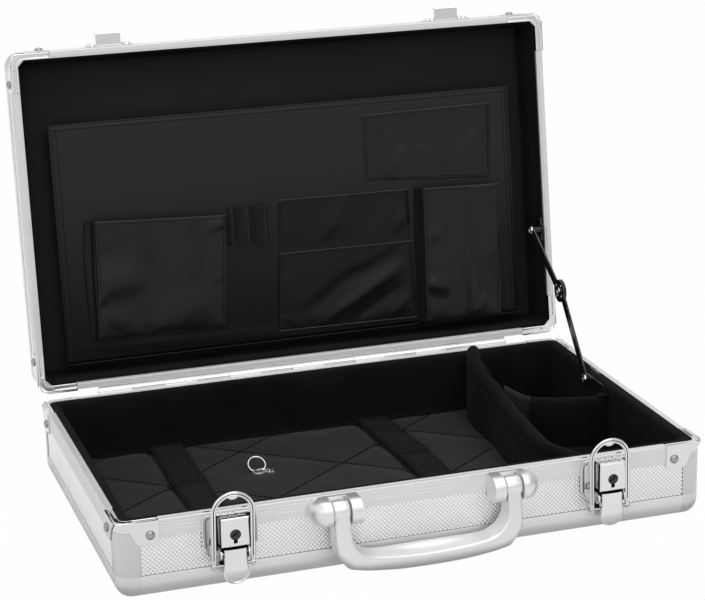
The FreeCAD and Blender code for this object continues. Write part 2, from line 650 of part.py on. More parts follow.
def lid_catch():
    """Strike on the lid: wide riveted plate with a hook lip that opens away from the base."""
    y = -HALF_D
    base = box(-18.0, 18.0, y - 1.2, y, LID_Z + 3.0, LID_Z + 22.0)
    corners = [e for e in base.Edges if abs(e.BoundBox.YLength - 1.2) < 0.01]
    base = base.makeChamfer(2.0, corners)
    shelf = box(-10.0, 10.0, y - 11.2, y - 0.6, LID_Z + 11.0, LID_Z + 12.5)
    lip = extrude_x([(y - 11.2, LID_Z + 11.0), (y - 9.8, LID_Z + 11.0), (y - 9.8, LID_Z + 18.0),
                     (y - 11.2, LID_Z + 18.0)], -10.0, 10.0)
    gussets = [extrude_x([(y - 0.6, LID_Z + 11.0), (y - 10.4, LID_Z + 11.0),
                          (y - 10.4, LID_Z + 13.5), (y - 0.6, LID_Z + 13.5)], x, x + 1.2)
               for x in (-10.0, 8.8)]
    hook = fuse([base, shelf, lip] + gussets)
    curl = [e for e in hook.Edges if abs(e.Length - 20.0) < 0.01
            and abs(e.BoundBox.Center.y - (y - 11.2)) < 0.01
            and abs(e.BoundBox.Center.z - (LID_Z + 11.0)) < 0.01]
    return hook.makeChamfer(0.9, curl)


def catch_rivets():
    heads = []
    for x in (-14.0, 14.0):
        for h in (7.0, 18.0):
            heads.append(rivet_head(2.5, 1.8).translated(V(x, -HALF_D - 1.2, LID_Z + h)))
    return heads


def build_latches():
    ay, az = LEVER_AXIS
    by, bz = BAIL_AXIS
    plates, housings, catches, lever_pins, strike_rivets = [], [], [], [], []
    for side, x in (("left", -LATCH_X), ("right", LATCH_X)):
        shift, lock_shift = V(x, 0, 0), V(x + LOCK_SHIFT, 0, 0)
        plates.append(latch_plate().translated(shift))
        housings.append(lock_housing().translated(lock_shift))
        catches.append(lid_catch().translated(shift))
        keep("%s_lock_cylinder" % side, lock_cylinder().translated(lock_shift))
        keep("%s_latch_lever" % side, lever().translated(lock_shift))
        bail = bail_ring()
        bail.rotate(V(0, 0, 0), V(1, 0, 0), BAIL_TILT)
        keep("%s_bail" % side, bail.translated(V(x, by, bz)))
        bail_pin = bar(PIN_R, (-16.1, by, bz), (16.1, by, bz))
        keep("%s_bail_pin" % side, bail_pin.translated(shift))
        lever_pin = bar(PIN_R, (-EAR_OUT, ay, az), (EAR_OUT, ay, az))
        lever_pins.append(lever_pin.translated(lock_shift))
        strike_rivets += [rivet.translated(shift) for rivet in catch_rivets()]
    keep("latch_plates", group(plates))
    keep("lock_housings", group(housings))
    keep("lever_pins", group(lever_pins))
    keep_lid("lid_catches", group(catches))
    keep_lid("catch_rivets", group(strike_rivets))


# ---------------------------------------------------------------- handle
LUG_IN0, LUG_IN1 = 50.0, 58.5
LUG_OUT0, LUG_OUT1 = 72.4, 86.5
LUG_R = 9.4


def handle_mount():
    """Right-hand bracket: back plate, straight inner lug, domed outer lug and a bridge."""
    hy, hz = HANDLE_AXIS
    face = -HALF_D
    plate = box(LUG_IN0, LUG_OUT1 - 3, face - 1.4, face, hz - 10.5, hz + 8.6)
    inner = fuse([cylinder(LUG_R, (LUG_IN0, hy, hz - 0.6), (LUG_IN1, hy, hz - 0.6)),
                  box(LUG_IN0, LUG_IN1, hy, face, hz - 10.0, hz + 8.8)])
    outer_cyl = fuse([cylinder(LUG_R, (LUG_OUT0, hy, hz - 0.6), (LUG_OUT0 + 4.5, hy, hz - 0.6)),
                      box(LUG_OUT0, LUG_OUT0 + 4.5, hy, face, hz - 10.0, hz + 8.8)])
    dome = Part.makeSphere(LUG_R, V(LUG_OUT0 + 4.5, hy, hz - 0.6))
    dome = dome.common(box(LUG_OUT0, LUG_OUT1, hy - 20, hy + 20, hz - 20, hz + 20))
    skirt = Part.makeCylinder(LUG_R, face - hy, V(LUG_OUT0 + 4.5, hy, hz - 0.6), V(0, 1, 0))
    skirt = skirt.common(box(LUG_OUT0, LUG_OUT1, hy - 1, face, hz - 20, hz + 20))
    bridge = box(LUG_IN1 - 1, LUG_OUT0 + 1, face - 3.2, face, hz + 5.6, hz + 8.8)
    solid = fuse([plate, inner, outer_cyl, dome, skirt, bridge])
    solid = solid.cut(box(LUG_IN0 - 1, LUG_OUT1 + 5, face, face + 20, hz - 20, hz + 20))
    return solid.cut(bar(2.0, (LUG_IN0 + 2, hy, hz), (LUG_OUT0 + 6, hy, hz)))


def handle_grip():
    """Moulded handle: front outline of arms and bowed grip, trimmed by its side profile."""
    hy, hz = HANDLE_AXIS
    out, inn = HANDLE_OUT, HANDLE_IN
    grip_low, grip_in, palm = 0.8, 14.2, 19.0
    edge = 60.0

    def line(a, b):
        return Part.LineSegment(V(a[0], 0, a[1]), V(b[0], 0, b[1])).toShape()

    def arc(a, m, b):
        return Part.Arc(V(a[0], 0, a[1]), V(m[0], 0, m[1]), V(b[0], 0, b[1])).toShape()
    outline = [
        line((-out, edge), (-out, 24.0)),
        arc((-out, 24.0), (-66.8, 12.8), (-56.0, 7.2)),
        arc((-56.0, 7.2), (0, grip_low), (56.0, 7.2)),
        arc((56.0, 7.2), (66.8, 12.8), (out, 24.0)),
        line((out, 24.0), (out, edge)),
        line((out, edge), (inn, edge)),
        line((inn, edge), (inn, 35.0)),
        arc((inn, 35.0), (54.8, 25.2), (44.0, 19.4)),
        arc((44.0, 19.4), (0, grip_in), (-44.0, 19.4)),
        arc((-44.0, 19.4), (-54.8, 25.2), (-inn, 35.0)),
        line((-inn, 35.0), (-inn, edge)),
        line((-inn, edge), (-out, edge)),
    ]
    face = Part.Face(Part.Wire(outline))
    face.translate(V(0, -165, 0))
    front = face.extrude(V(0, 40, 0))
    swell = Part.Face(Part.Wire([line((-44.0, 19.4), (-30.0, palm)), line((-30.0, palm), (30.0, palm)),
                                 line((30.0, palm), (44.0, 19.4)),
                                 arc((44.0, 19.4), (0, grip_in), (-44.0, 19.4))]))
    swell.translate(V(0, -151, 0))
    front = front.fuse(swell.extrude(V(0, 9, 0)))
    r = KNUCKLE_HANDLE_R
    front_knee, belly, toe = (-157.6, 17.0), (-158.7, 9.5), (-156.4, 1.8)
    heel, back_knee = (-142.4, 1.9), (-138.7, 12.0)

    def side_line(a, b):
        return Part.LineSegment(V(0, *a), V(0, *b)).toShape()

    def side_arc(a, m, b):
        return Part.Arc(V(0, *a), V(0, *m), V(0, *b)).toShape()
    top_front, top_back = (hy - r, hz), (hy + r, hz)
    side = Part.Face(Part.Wire([
        side_line(top_front, front_knee),
        side_arc(front_knee, belly, toe),
        side_arc(toe, (-149.4, 0.3), heel),
        side_arc(heel, (-139.5, 6.0), back_knee),
        side_line(back_knee, top_back),
        side_arc(top_back, (hy, hz + r), top_front)]))
    side.translate(V(-80, 0, 0))
    solid = front.common(side.extrude(V(160, 0, 0)))
    return solid.cut(bore(2.0 + RUN_CLEAR, (-80, hy, hz), (80, hy, hz)))


def build_handle():
    hy, hz = HANDLE_AXIS
    mount = handle_mount()
    keep("handle_mounts", group([mount, mirror_x(mount)]))
    keep("handle_grip", handle_grip())
    pin = bar(2.0, (LUG_IN0 + 2.2, hy, hz), (LUG_OUT0 + 5.8, hy, hz))
    keep("handle_pins", group([pin, mirror_x(pin)]))


# ---------------------------------------------------------------- lid stay
STAY_WALL_X = HALF_W - RIM_T - LINING_T     # inner face of the base lining
LOW_ARM_X = (209.4, 210.7)
HIGH_ARM_X = (207.8, 209.1)
ARM_HALF = 3.8
DISC_R = 9.6
STAY_PIN_R = 2.0


def stay_arm(x_span, start, end, disc_at_start):
    """Flat steel strip between two pivots, with a round disc at the elbow end."""
    x0, x1 = x_span
    (ya, za), (yb, zb) = start, end
    length = math.hypot(yb - ya, zb - za)
    ny, nz = -(zb - za) / length * ARM_HALF, (yb - ya) / length * ARM_HALF
    strip = extrude_x([(ya + ny, za + nz), (yb + ny, zb + nz), (yb - ny, zb - nz),
                       (ya - ny, za - nz)], x0, x1)
    r_start, r_end = (DISC_R, ARM_HALF) if disc_at_start else (ARM_HALF, DISC_R)
    return fuse([strip, bar(r_start, (x0, ya, za), (x1, ya, za), 24),
                 bar(r_end, (x0, yb, zb), (x1, yb, zb), 24)])


def x_bar(radius, point, x0, x1):
    y, z = point
    return bar(radius, (x0, y, z), (x1, y, z))


def x_bore(radius, point):
    y, z = point
    return bore(radius, (200, y, z), (215, y, z))


def open_place(point):
    """Where a Y, Z point of the shut lid lies with the lid open."""
    a = math.radians(-OPEN_DEG)
    dy, dz = point[0] - HINGE_Y, point[1] - HINGE_Z
    return (HINGE_Y + dy * math.cos(a) - dz * math.sin(a),
            HINGE_Z + dy * math.sin(a) + dz * math.cos(a))


def pan_head(point, x_face, radius, rise):
    """Pan head standing to -X from x_face, with a cross recess."""
    y, z = point
    head = fuse([Part.makeLoft([ring_wire(radius, 0, 16), ring_wire(radius, rise / 2, 16)],
                               True, True),
                 Part.makeLoft([ring_wire(radius, rise / 2, 16),
                                ring_wire(radius - rise / 2, rise, 16)], True, True)])
    head.rotate(V(0, 0, 0), V(0, 1, 0), -90)
    head.translate(V(x_face, y, z))
    for a, b in ((0.5, 2.2), (2.2, 0.5)):
        head = head.cut(box(x_face - rise - 1, x_face - rise + 0.7, y - a, y + a, z - b, z + b))
    return head


def build_stay():
    high_open = open_place(STAY_HIGH)
    turning = STAY_PIN_R + RUN_CLEAR

    y, z = STAY_LOW
    bracket = fuse([box(STAY_WALL_X - 1.0, STAY_WALL_X, 14.0, y + 7, z - 5, z + 4.3),
                    x_bar(4.2, STAY_LOW, STAY_WALL_X - 1.0, STAY_WALL_X)])
    keep("stay_base_bracket", bracket.cut(x_bar(STAY_PIN_R, STAY_LOW, 200, 215)))
    screw = fuse([x_bar(STAY_PIN_R, STAY_LOW, LOW_ARM_X[0] - 0.2, STAY_WALL_X),
                  pan_head(STAY_LOW, LOW_ARM_X[0] - 0.15, 4.0, 1.6)])
    keep("stay_lower_screw", screw)

    low_arm = stay_arm(LOW_ARM_X, STAY_LOW, STAY_ELBOW, False)
    keep("stay_lower_arm", low_arm.cut(x_bore(turning, STAY_LOW)).cut(
        x_bar(STAY_PIN_R, STAY_ELBOW, 200, 215)))
    rivet = fuse([x_bar(STAY_PIN_R, STAY_ELBOW, HIGH_ARM_X[0] - 0.2, LOW_ARM_X[1]),
                  pan_head(STAY_ELBOW, HIGH_ARM_X[0] - 0.15, 3.6, 1.3)])
    keep("stay_elbow_rivet", rivet)

    high_arm = stay_arm(HIGH_ARM_X, STAY_ELBOW, high_open, True)
    keep("stay_upper_arm", high_arm.cut(x_bore(turning, STAY_ELBOW)).cut(
        x_bar(STAY_PIN_R, high_open, 200, 215)))
    keep("stay_upper_screw", fuse([x_bar(STAY_PIN_R, high_open, HIGH_ARM_X[0], HIGH_ARM_X[1]),
                                   pan_head(high_open, HIGH_ARM_X[0], 4.0, 1.6)]))

    wall_x = HALF_W - RIM_T - LID_LINING_T
    y, z = STAY_HIGH
    foot = box(wall_x - 1.2, wall_x, y - 10, y + 10, LID_Z + 3.0, LID_Z + 13.0)
    arm = box(wall_x - 1.2, wall_x, y - 4, y + 4, z - 4, LID_Z + 5.0)
    stub = bar(2.5, (HIGH_ARM_X[1] + 0.4, y, z), (wall_x, y, z))
    keep_lid("stay_lid_bracket", fuse([foot, arm, stub]))


# ---------------------------------------------------------------- keys
RING_CENTRE = (-73.5, 43.3, 18.6)
RING_R, RING_BAND, RING_T = 7.6, 1.4, 1.4
RING_LEAN = 52.0                # the ring leans back this many degrees from lying flat
KEY_T = 1.1
KEY_PLACES = ((-73.0, 38.4, 0.1, -22.0), (-73.0, 39.8, 1.3, 0.0))     # x, y, lift, heading


def split_ring():
    """Flat-wound ring that leans on the keys, its lowest point inside their slots."""
    half = RING_T / 2
    ring = bar(RING_R, (0, 0, -half), (0, 0, half), 28)
    ring = ring.cut(bar(RING_R - RING_BAND, (0, 0, -RING_T), (0, 0, RING_T), 28))
    ring.rotate(V(0, 0, 0), V(1, 0, 0), RING_LEAN)
    return ring.translated(V(*RING_CENTRE))


def flat_key(thickness):
    """Small luggage key along +X from its bow's middle: slotted bow, blade and two teeth."""
    bow = bar(5.6, (0, 0, 0), (0, 0, thickness), 20)
    blade = box(4.5, 12.5, -1.4, 1.4, 0, thickness)
    bits = fuse([box(7.6, 8.9, -3.2, -1.0, 0, thickness),
                 box(10.6, 12.0, -2.8, -1.0, 0, thickness)])
    return fuse([bow, blade, bits]).cut(box(-4.3, 3.4, -1.9, 2.1, -1, thickness + 1))


def build_keys():
    ring = split_ring()
    keep("key_ring", ring)
    keys = []
    for x, y, lift, heading in KEY_PLACES:
        key = flat_key(KEY_T)
        key.rotate(V(0, 0, 0), V(0, 0, 1), heading)
        keys.append(key.translated(V(x, y, PAD_TOP + lift)).cut(ring))
    keep("keys", group(keys))


# ---------------------------------------------------------------- build and export
def main():
    build_base_shell()
    build_lid_shell()
    build_base_interior()
    build_lid_interior()
    build_hinge()
    build_latches()
    build_handle()
    build_stay()
    build_keys()
    os.makedirs("parts", exist_ok=True)
    for name, shape in PARTS.items():
        shape.exportStep("parts/%s.step" % name)
    print(len(PARTS), "sub-parts written")


main()
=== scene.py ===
"""An open aluminium attache case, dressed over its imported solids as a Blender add-on."""

import json
import math

import bmesh
import bpy
import numpy as np
from bpy.props import FloatProperty, FloatVectorProperty, PointerProperty
from mathutils import Matrix, Vector


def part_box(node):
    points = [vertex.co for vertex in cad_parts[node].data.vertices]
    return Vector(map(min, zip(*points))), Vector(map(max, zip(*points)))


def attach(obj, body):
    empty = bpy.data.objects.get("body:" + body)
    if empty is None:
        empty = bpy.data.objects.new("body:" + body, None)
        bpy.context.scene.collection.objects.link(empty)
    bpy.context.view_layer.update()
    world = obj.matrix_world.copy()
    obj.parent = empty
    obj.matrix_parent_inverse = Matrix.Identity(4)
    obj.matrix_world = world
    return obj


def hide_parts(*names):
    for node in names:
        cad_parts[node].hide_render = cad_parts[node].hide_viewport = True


bl_info = {
    "name": "Aluminium Attache Case",
    "version": (1, 0, 0),
    "blender": (4, 5, 0),
    "location": "3D View > Sidebar > Case",
    "description": "Dresses the shell, hardware, velvet and organizer of an attache case",
    "category": "Object",
}

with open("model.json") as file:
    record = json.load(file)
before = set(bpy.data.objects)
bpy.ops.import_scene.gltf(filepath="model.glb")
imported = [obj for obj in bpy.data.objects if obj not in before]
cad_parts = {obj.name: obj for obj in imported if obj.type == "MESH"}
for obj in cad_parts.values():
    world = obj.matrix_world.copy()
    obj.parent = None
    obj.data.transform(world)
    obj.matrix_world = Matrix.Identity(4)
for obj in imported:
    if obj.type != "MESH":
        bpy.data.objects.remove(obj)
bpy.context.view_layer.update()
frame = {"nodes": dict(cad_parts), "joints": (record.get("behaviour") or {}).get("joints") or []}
NODES = frame["nodes"]
MM = 0.001

# Sizes taken from the solids, in millimetres.
SHELL_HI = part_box("base_edge_rails")[1] / MM
HALF_W, HALF_D = SHELL_HI.x, SHELL_HI.y
BASE_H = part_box("base_rim_caps")[1].z / MM
RAIL_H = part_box("base_edge_rails")[1].z / MM
RIM_H = 14.0                    # height of the rim extrusions
LID_H = 45.0
CORNER_L = 16.5                 # reach of the ball corners along each side
CAP_L = 31.0                    # reach of the rim caps along each side
RIM_GAP = 0.4                   # between the two rims when the lid is shut
LID_JOINT = next(j for j in frame["joints"] if j["name"] == "lid_hinge")
LID_OPEN = math.radians(LID_JOINT["range_deg"][1])
HINGE = Vector(LID_JOINT["pos_m"]) / MM
LID_PLANE = BASE_H + RIM_GAP    # height of the lid's rim when it is shut
OPEN = (Matrix.Translation(HINGE) @ Matrix.Rotation(-LID_OPEN, 4, "X")
        @ Matrix.Translation(-HINGE))
LID = OPEN @ Matrix.Translation((0, 0, LID_PLANE))      # x, y, depth from the lid's rim


# ------------------------------------------------------------------ settings
def colour_prop(label, value, text):
    """Property that holds one colour of a finish."""
    return FloatVectorProperty(name=label, description=text, subtype="COLOR", size=3,
                               default=value, min=0.0, max=1.0)


def size_prop(label, value, text):
    """Property that holds one size in metres."""
    return FloatProperty(name=label, description=text, default=value, min=0.0,
                         subtype="DISTANCE", unit="LENGTH")


class CaseColours(bpy.types.PropertyGroup):
    """Colours of the case's finishes."""
    sheet: colour_prop("Panel sheet", (0.95, 0.95, 0.95), "Dotted aluminium sheet")
    # Painted shade: the sheet between the dots is a darker copy of the dots' aluminium.
    hollow_shade: colour_prop("Sheet hollows", (0.66, 0.66, 0.665), "Sheet between its raised dots")
    rail: colour_prop("Rails", (0.88, 0.88, 0.885), "Satin anodised extrusions")
    rim: colour_prop("Rims", (0.95, 0.95, 0.95), "Pale rim extrusions")
    cast: colour_prop("Ball corners", (0.80, 0.80, 0.805), "Cast corner shoes")
    post: colour_prop("Corner posts", (0.64, 0.64, 0.645), "Rounded upright corners")
    dark_metal: colour_prop("Dark plating", (0.36, 0.36, 0.365), "Rivets and screw heads")
    chrome: colour_prop("Plating", (0.72, 0.72, 0.73), "Plated latches, corners and rivets")
    silver: colour_prop("Silver paint", (0.85, 0.85, 0.855), "Handle and its brackets")
    velvet: colour_prop("Velvet", (0.0095, 0.0095, 0.010), "Flocked linings and dividers")
    quilt: colour_prop("Floor pad", (0.027, 0.027, 0.028), "Quilted nylon of the floor pad")
    nylon: colour_prop("Organizer cloth", (0.026, 0.026, 0.027), "Smooth nylon of the lid")
    pocket: colour_prop("Pocket cloth", (0.0105, 0.0105, 0.011), "Thin glossy cloth of the pockets")
    lid_cloth: colour_prop("Lid cloth", (0.0165, 0.0165, 0.017), "Dull cloth of the lid's face")
    webbing: colour_prop("Webbing", (0.0095, 0.0095, 0.010), "Straps and pen loops")
    # Hems are a lighter copy of the cloth: a painted highlight on their folded edges.
    hem: colour_prop("Hems", (0.050, 0.050, 0.052), "Folded edges that catch the light")
    thread: colour_prop("Thread", (0.006, 0.006, 0.0065), "Sewing thread")
    black_paint: colour_prop("Stay paint", (0.022, 0.022, 0.023), "Arms of the lid stay")
    floor: colour_prop("Floor", (0.82, 0.82, 0.82), "Studio floor")


class CaseSizes(bpy.types.PropertyGroup):
    """Sizes of the case's surface detail."""
    dot_pitch: size_prop("Dot pitch", 0.0033, "Spacing of the raised dots on the sheet")
    dot_height: size_prop("Dot height", 0.00030, "Rise of one dot above the sheet")
    weave: size_prop("Weave pitch", 0.0007, "Thread spacing of the nylon")


def sizes():
    """The sizes of surface detail set in the panel."""
    return bpy.context.scene.case_sizes


def colours():
    """The colours set in the panel."""
    return bpy.context.scene.case_colours


# ------------------------------------------------------------------ shader building
def feed(tree, made, inputs):
    """Set a node's inputs, each to a number, a colour or another node's output."""
    for key, value in inputs.items():
        if isinstance(value, bpy.types.NodeSocket):
            tree.links.new(value, made.inputs[key])
        else:
            made.inputs[key].default_value = value
    return made


def put(tree, kind, inputs=(), **settings):
    """Add one shader node with its inputs and settings."""
    made = tree.nodes.new("ShaderNode" + kind)
    for key, value in settings.items():
        setattr(made, key, value)
    return feed(tree, made, dict(inputs))


def maths(tree, operation, a, b=0.0, clamp=False):
    """Result of one Math node."""
    return put(tree, "Math", {0: a, 1: b}, operation=operation, use_clamp=clamp).outputs[0]


def ramp(tree, value, low, high, out_low=0.0, out_high=1.0):
    """A value carried straight from one range to another, held at both ends."""
    made = put(tree, "MapRange", {"Value": value, "From Min": low, "From Max": high,
                                  "To Min": out_low, "To Max": out_high})
    return made.outputs["Result"]


def new_group(name, inputs, outputs):
    """Shader node group with number or vector sockets; returns its tree and inner ends."""
    tree = bpy.data.node_groups.new(name, "ShaderNodeTree")
    for socket, kind, value in inputs:
        made = tree.interface.new_socket(name=socket, in_out="INPUT",
                                         socket_type="NodeSocket" + kind)
        if kind == "Float":
            made.default_value = value
    for socket in outputs:
        tree.interface.new_socket(name=socket, in_out="OUTPUT", socket_type="NodeSocketFloat")
    return tree, tree.nodes.new("NodeGroupInput").outputs, tree.nodes.new("NodeGroupOutput")


def make_grain():
    """Fine uneven surface: a coarse tone, a fine height and hairline scratches."""
    tree, a, out = new_group("Surface grain", [("Vector", "Vector", 0), ("Scale", "Float", 400),
                                               ("Stretch", "Float", 1)],
                             ["Height", "Tone", "Scratch"])
    stretch = put(tree, "CombineXYZ", {0: a["Stretch"], 1: 1.0, 2: 1.0}).outputs[0]
    vec = put(tree, "VectorMath", {0: a["Vector"], 1: stretch}, operation="MULTIPLY").outputs[0]
    fine = put(tree, "TexNoise", {"Vector": vec, "Scale": a["Scale"], "Detail": 4.0})
    coarse, middle = (maths(tree, "MULTIPLY", a["Scale"], share) for share in (0.04, 0.3))
    broad = put(tree, "TexNoise", {"Vector": vec, "Scale": coarse, "Detail": 3.0})
    lines = put(tree, "TexNoise", {"Vector": vec, "Scale": middle, "Detail": 6.0,
                                   "Distortion": 1.4})
    band = maths(tree, "ABSOLUTE", maths(tree, "SUBTRACT", lines.outputs["Fac"], 0.5))
    tree.links.new(fine.outputs["Fac"], out.inputs["Height"])
    tree.links.new(broad.outputs["Fac"], out.inputs["Tone"])
    tree.links.new(ramp(tree, band, 0.0, 0.012, 1.0, 0.0), out.inputs["Scratch"])
    return tree


def make_edge_wear():
    """Mask of rubbed edges, broken up by noise."""
    tree, a, out = new_group("Edge wear", [("Radius", "Float", 0.001), ("Breakup", "Float", 90)],
                             ["Mask"])
    soft = put(tree, "Bevel", {"Radius": a["Radius"]}, samples=4).outputs["Normal"]
    flat = put(tree, "NewGeometry").outputs["Normal"]
    dot = put(tree, "VectorMath", {0: soft, 1: flat}, operation="DOT_PRODUCT").outputs["Value"]
    edge = ramp(tree, dot, 0.995, 0.86, 0.0, 1.0)
    where = put(tree, "TexCoord").outputs["Object"]
    noise = put(tree, "TexNoise", {"Vector": where, "Scale": a["Breakup"], "Detail": 3.0})
    broken = ramp(tree, noise.outputs["Fac"], 0.35, 0.65)
    tree.links.new(maths(tree, "MULTIPLY", edge, broken), out.inputs["Mask"])
    return tree


def make_dust():
    """Sparse pale specks and lint on dark cloth."""
    tree, a, out = new_group("Lint", [("Vector", "Vector", 0), ("Scale", "Float", 260),
                                      ("Share", "Float", 0.06)], ["Mask"])
    cells = put(tree, "TexVoronoi", {"Vector": a["Vector"], "Scale": a["Scale"]})
    patch = put(tree, "TexNoise", {"Vector": a["Vector"], "Scale": 30.0})
    near = ramp(tree, cells.outputs["Distance"], 0.10, 0.04)
    some = ramp(tree, patch.outputs["Fac"], maths(tree, "SUBTRACT", 0.72, a["Share"]), 0.75)
    tree.links.new(maths(tree, "MULTIPLY", near, some, True), out.inputs["Mask"])
    return tree


def make_weave():
    """Plain weave over two directions of a vector in metres: height and thread tone."""
    tree, a, out = new_group("Weave", [("Vector", "Vector", 0), ("Pitch", "Float", 0.0007)],
                             ["Height", "Tone"])
    axes = put(tree, "SeparateXYZ", {0: a["Vector"]}).outputs
    waves = []
    for axis in (0, 1):
        turn = maths(tree, "DIVIDE", maths(tree, "MULTIPLY", axes[axis], math.pi), a["Pitch"])
        waves.append(maths(tree, "SINE", turn))
    over = maths(tree, "MULTIPLY", waves[0], waves[1])
    height = ramp(tree, over, -1.0, 1.0)
    fuzz = put(tree, "TexNoise", {"Vector": a["Vector"], "Scale": 900.0, "Detail": 3.0})
    tree.links.new(height, out.inputs["Height"])
    tree.links.new(fuzz.outputs["Fac"], out.inputs["Tone"])
    return tree


def make_flock():
    """Short brushed pile: mottled nap with a fine fibre height."""
    tree, a, out = new_group("Flock", [("Vector", "Vector", 0), ("Scale", "Float", 1400)],
                             ["Height", "Nap"])
    fibre = put(tree, "TexNoise", {"Vector": a["Vector"], "Scale": a["Scale"], "Detail": 5.0,
                                   "Roughness": 0.7})
    nap = put(tree, "TexNoise", {"Vector": a["Vector"], "Scale": 26.0, "Detail": 6.0,
                                 "Distortion": 0.6})
    tree.links.new(fibre.outputs["Fac"], out.inputs["Height"])
    tree.links.new(ramp(tree, nap.outputs["Fac"], 0.3, 0.7), out.inputs["Nap"])
    return tree


GROUPS = {}
MATERIALS = {}


def use(tree, name, **inputs):
    """Add a shared node group, made on its first use; returns its outputs."""
    makers = {"grain": make_grain, "wear": make_edge_wear, "dust": make_dust,
              "weave": make_weave, "flock": make_flock}
    if name not in GROUPS:
        GROUPS[name] = makers[name]()
    made = tree.nodes.new("ShaderNodeGroup")
    made.node_tree = GROUPS[name]
    return feed(tree, made, inputs).outputs


def start_material(name, **sockets):
    """Empty material with one Principled shader; returns its tree and shader."""
    made = bpy.data.materials.new(name)
    made.use_nodes = True
    tree = made.node_tree
    shader = tree.nodes["Principled BSDF"]
    for key, value in sockets.items():
        shader.inputs[key.replace("_", " ")].default_value = value
    MATERIALS[name] = made
    return tree, shader


def tint(tree, colour, factor, low, high):
    """A colour scaled between two shares by a factor from 0 to 1."""
    share = ramp(tree, factor, 0.0, 1.0, low, high)
    base = put(tree, "RGB")
    base.outputs[0].default_value = (*colour, 1.0)
    return put(tree, "VectorMath", {0: base.outputs[0], "Scale": share},
               operation="SCALE").outputs[0]


def flecked(tree, base, mask, share, grey):
    """A colour with some grey laid over it where a mask says."""
    made = put(tree, "Mix", {"Factor": maths(tree, "MULTIPLY", mask, share), 6: base,
                             7: (grey, grey, grey, 1.0)}, data_type="RGBA")
    return made.outputs[2]


def bump(tree, shader, height, distance, normal=None):
    """Raise a height on a shader's normal, over another bump where one is given."""
    inputs = {"Height": height, "Distance": distance, "Strength": 1.0}
    if normal is not None:
        inputs["Normal"] = normal
    made = put(tree, "Bump", inputs)
    tree.links.new(made.outputs["Normal"], shader.inputs["Normal"])


def metal(name, colour, rough, spread, scale, depth, stretch=1.0, shine=1.0, wear=0.15,
          radius=0.0006):
    """Metal finish: toned grain in colour and roughness, rubbed edges and faint scratches."""
    tree, shader = start_material(name, Metallic=shine)
    where = put(tree, "TexCoord").outputs["Object"]
    grain = use(tree, "grain", Vector=where, Scale=scale, Stretch=stretch)
    worn = use(tree, "wear", Radius=radius, Breakup=120.0)["Mask"]
    base = tint(tree, colour, grain["Tone"], 0.93, 1.06)
    tree.links.new(flecked(tree, base, worn, wear, 0.95), shader.inputs["Base Color"])
    rubbed = maths(tree, "MULTIPLY", worn, -0.4 * rough)
    tone = ramp(tree, grain["Tone"], 0.3, 0.7, rough - spread, rough + spread)
    scratch = maths(tree, "MULTIPLY", grain["Scratch"], 0.05)
    rough_out = maths(tree, "ADD", maths(tree, "ADD", tone, scratch), rubbed, True)
    tree.links.new(rough_out, shader.inputs["Roughness"])
    bump(tree, shader, grain["Height"], depth)


def velvet_material():
    """Flocked pile with a brushed nap, a little sheen and lint."""
    c = colours()
    tree, shader = start_material("velvet", Sheen_Weight=0.10, Sheen_Roughness=0.45,
                                  Specular_IOR_Level=0.06, Roughness=0.95)
    shader.inputs["Sheen Tint"].default_value = (0.35, 0.35, 0.36, 1.0)
    where = put(tree, "TexCoord").outputs["Object"]
    flock = use(tree, "flock", Vector=where, Scale=1500.0)
    lint = use(tree, "dust", Vector=where, Scale=240.0, Share=0.03)["Mask"]
    base = tint(tree, c.velvet, flock["Nap"], 0.75, 1.5)
    tree.links.new(flecked(tree, base, lint, 0.25, 0.25), shader.inputs["Base Color"])
    tree.links.new(ramp(tree, flock["Nap"], 0.0, 1.0, 0.86, 1.0), shader.inputs["Roughness"])
    bump(tree, shader, flock["Height"], 0.0004)


def cloth_material(name, colour, pitch, depth, rough, sheen=0.15, crease=0.0, spread=0.06,
                   level=0.5, shade_below=None, tones=(0.6, 1.45)):
    """Woven cloth laid out by the mesh's own map in metres, with soft creases.

    faded gives two heights and the share of the colour left at the lower one, as painted shade that
    darkens the cloth towards the bottom."""
    tree, shader = start_material(name, Sheen_Weight=sheen, Sheen_Roughness=0.4,
                                  Specular_IOR_Level=level)
    flat = put(tree, "UVMap").outputs["UV"]
    where = put(tree, "TexCoord").outputs["Object"]
    weave = use(tree, "weave", Vector=flat, Pitch=pitch)
    grain = use(tree, "grain", Vector=where, Scale=300.0, Stretch=1.0)
    lint = use(tree, "dust", Vector=where, Scale=300.0, Share=0.02)["Mask"]
    toned = maths(tree, "ADD", maths(tree, "MULTIPLY", weave["Height"], 0.5),
                  maths(tree, "MULTIPLY", weave["Tone"], 0.5))
    base = tint(tree, colour, toned, *tones)
    # Painted shade: the colour is darkened towards the lower height.
    if shade_below:
        low, high, share = shade_below
        height = put(tree, "SeparateXYZ", {0: where}).outputs[2]
        lit_share = ramp(tree, height, low, high, share, 1.0)
        base = put(tree, "VectorMath", {0: base, "Scale": lit_share}, operation="SCALE").outputs[0]
    tree.links.new(flecked(tree, base, lint, 0.2, 0.3), shader.inputs["Base Color"])
    tree.links.new(ramp(tree, grain["Tone"], 0.3, 0.7, rough - spread, rough + spread),
                   shader.inputs["Roughness"])
    crumple = put(tree, "TexNoise", {"Vector": where, "Scale": 45.0, "Detail": 4.0,
                                     "Distortion": 0.8}).outputs["Fac"]
    soft = put(tree, "Bump", {"Height": crumple, "Distance": max(crease, 1e-5),
                              "Strength": 1.0 if crease else 0.0}).outputs["Normal"]
    bump(tree, shader, weave["Height"], depth, soft)


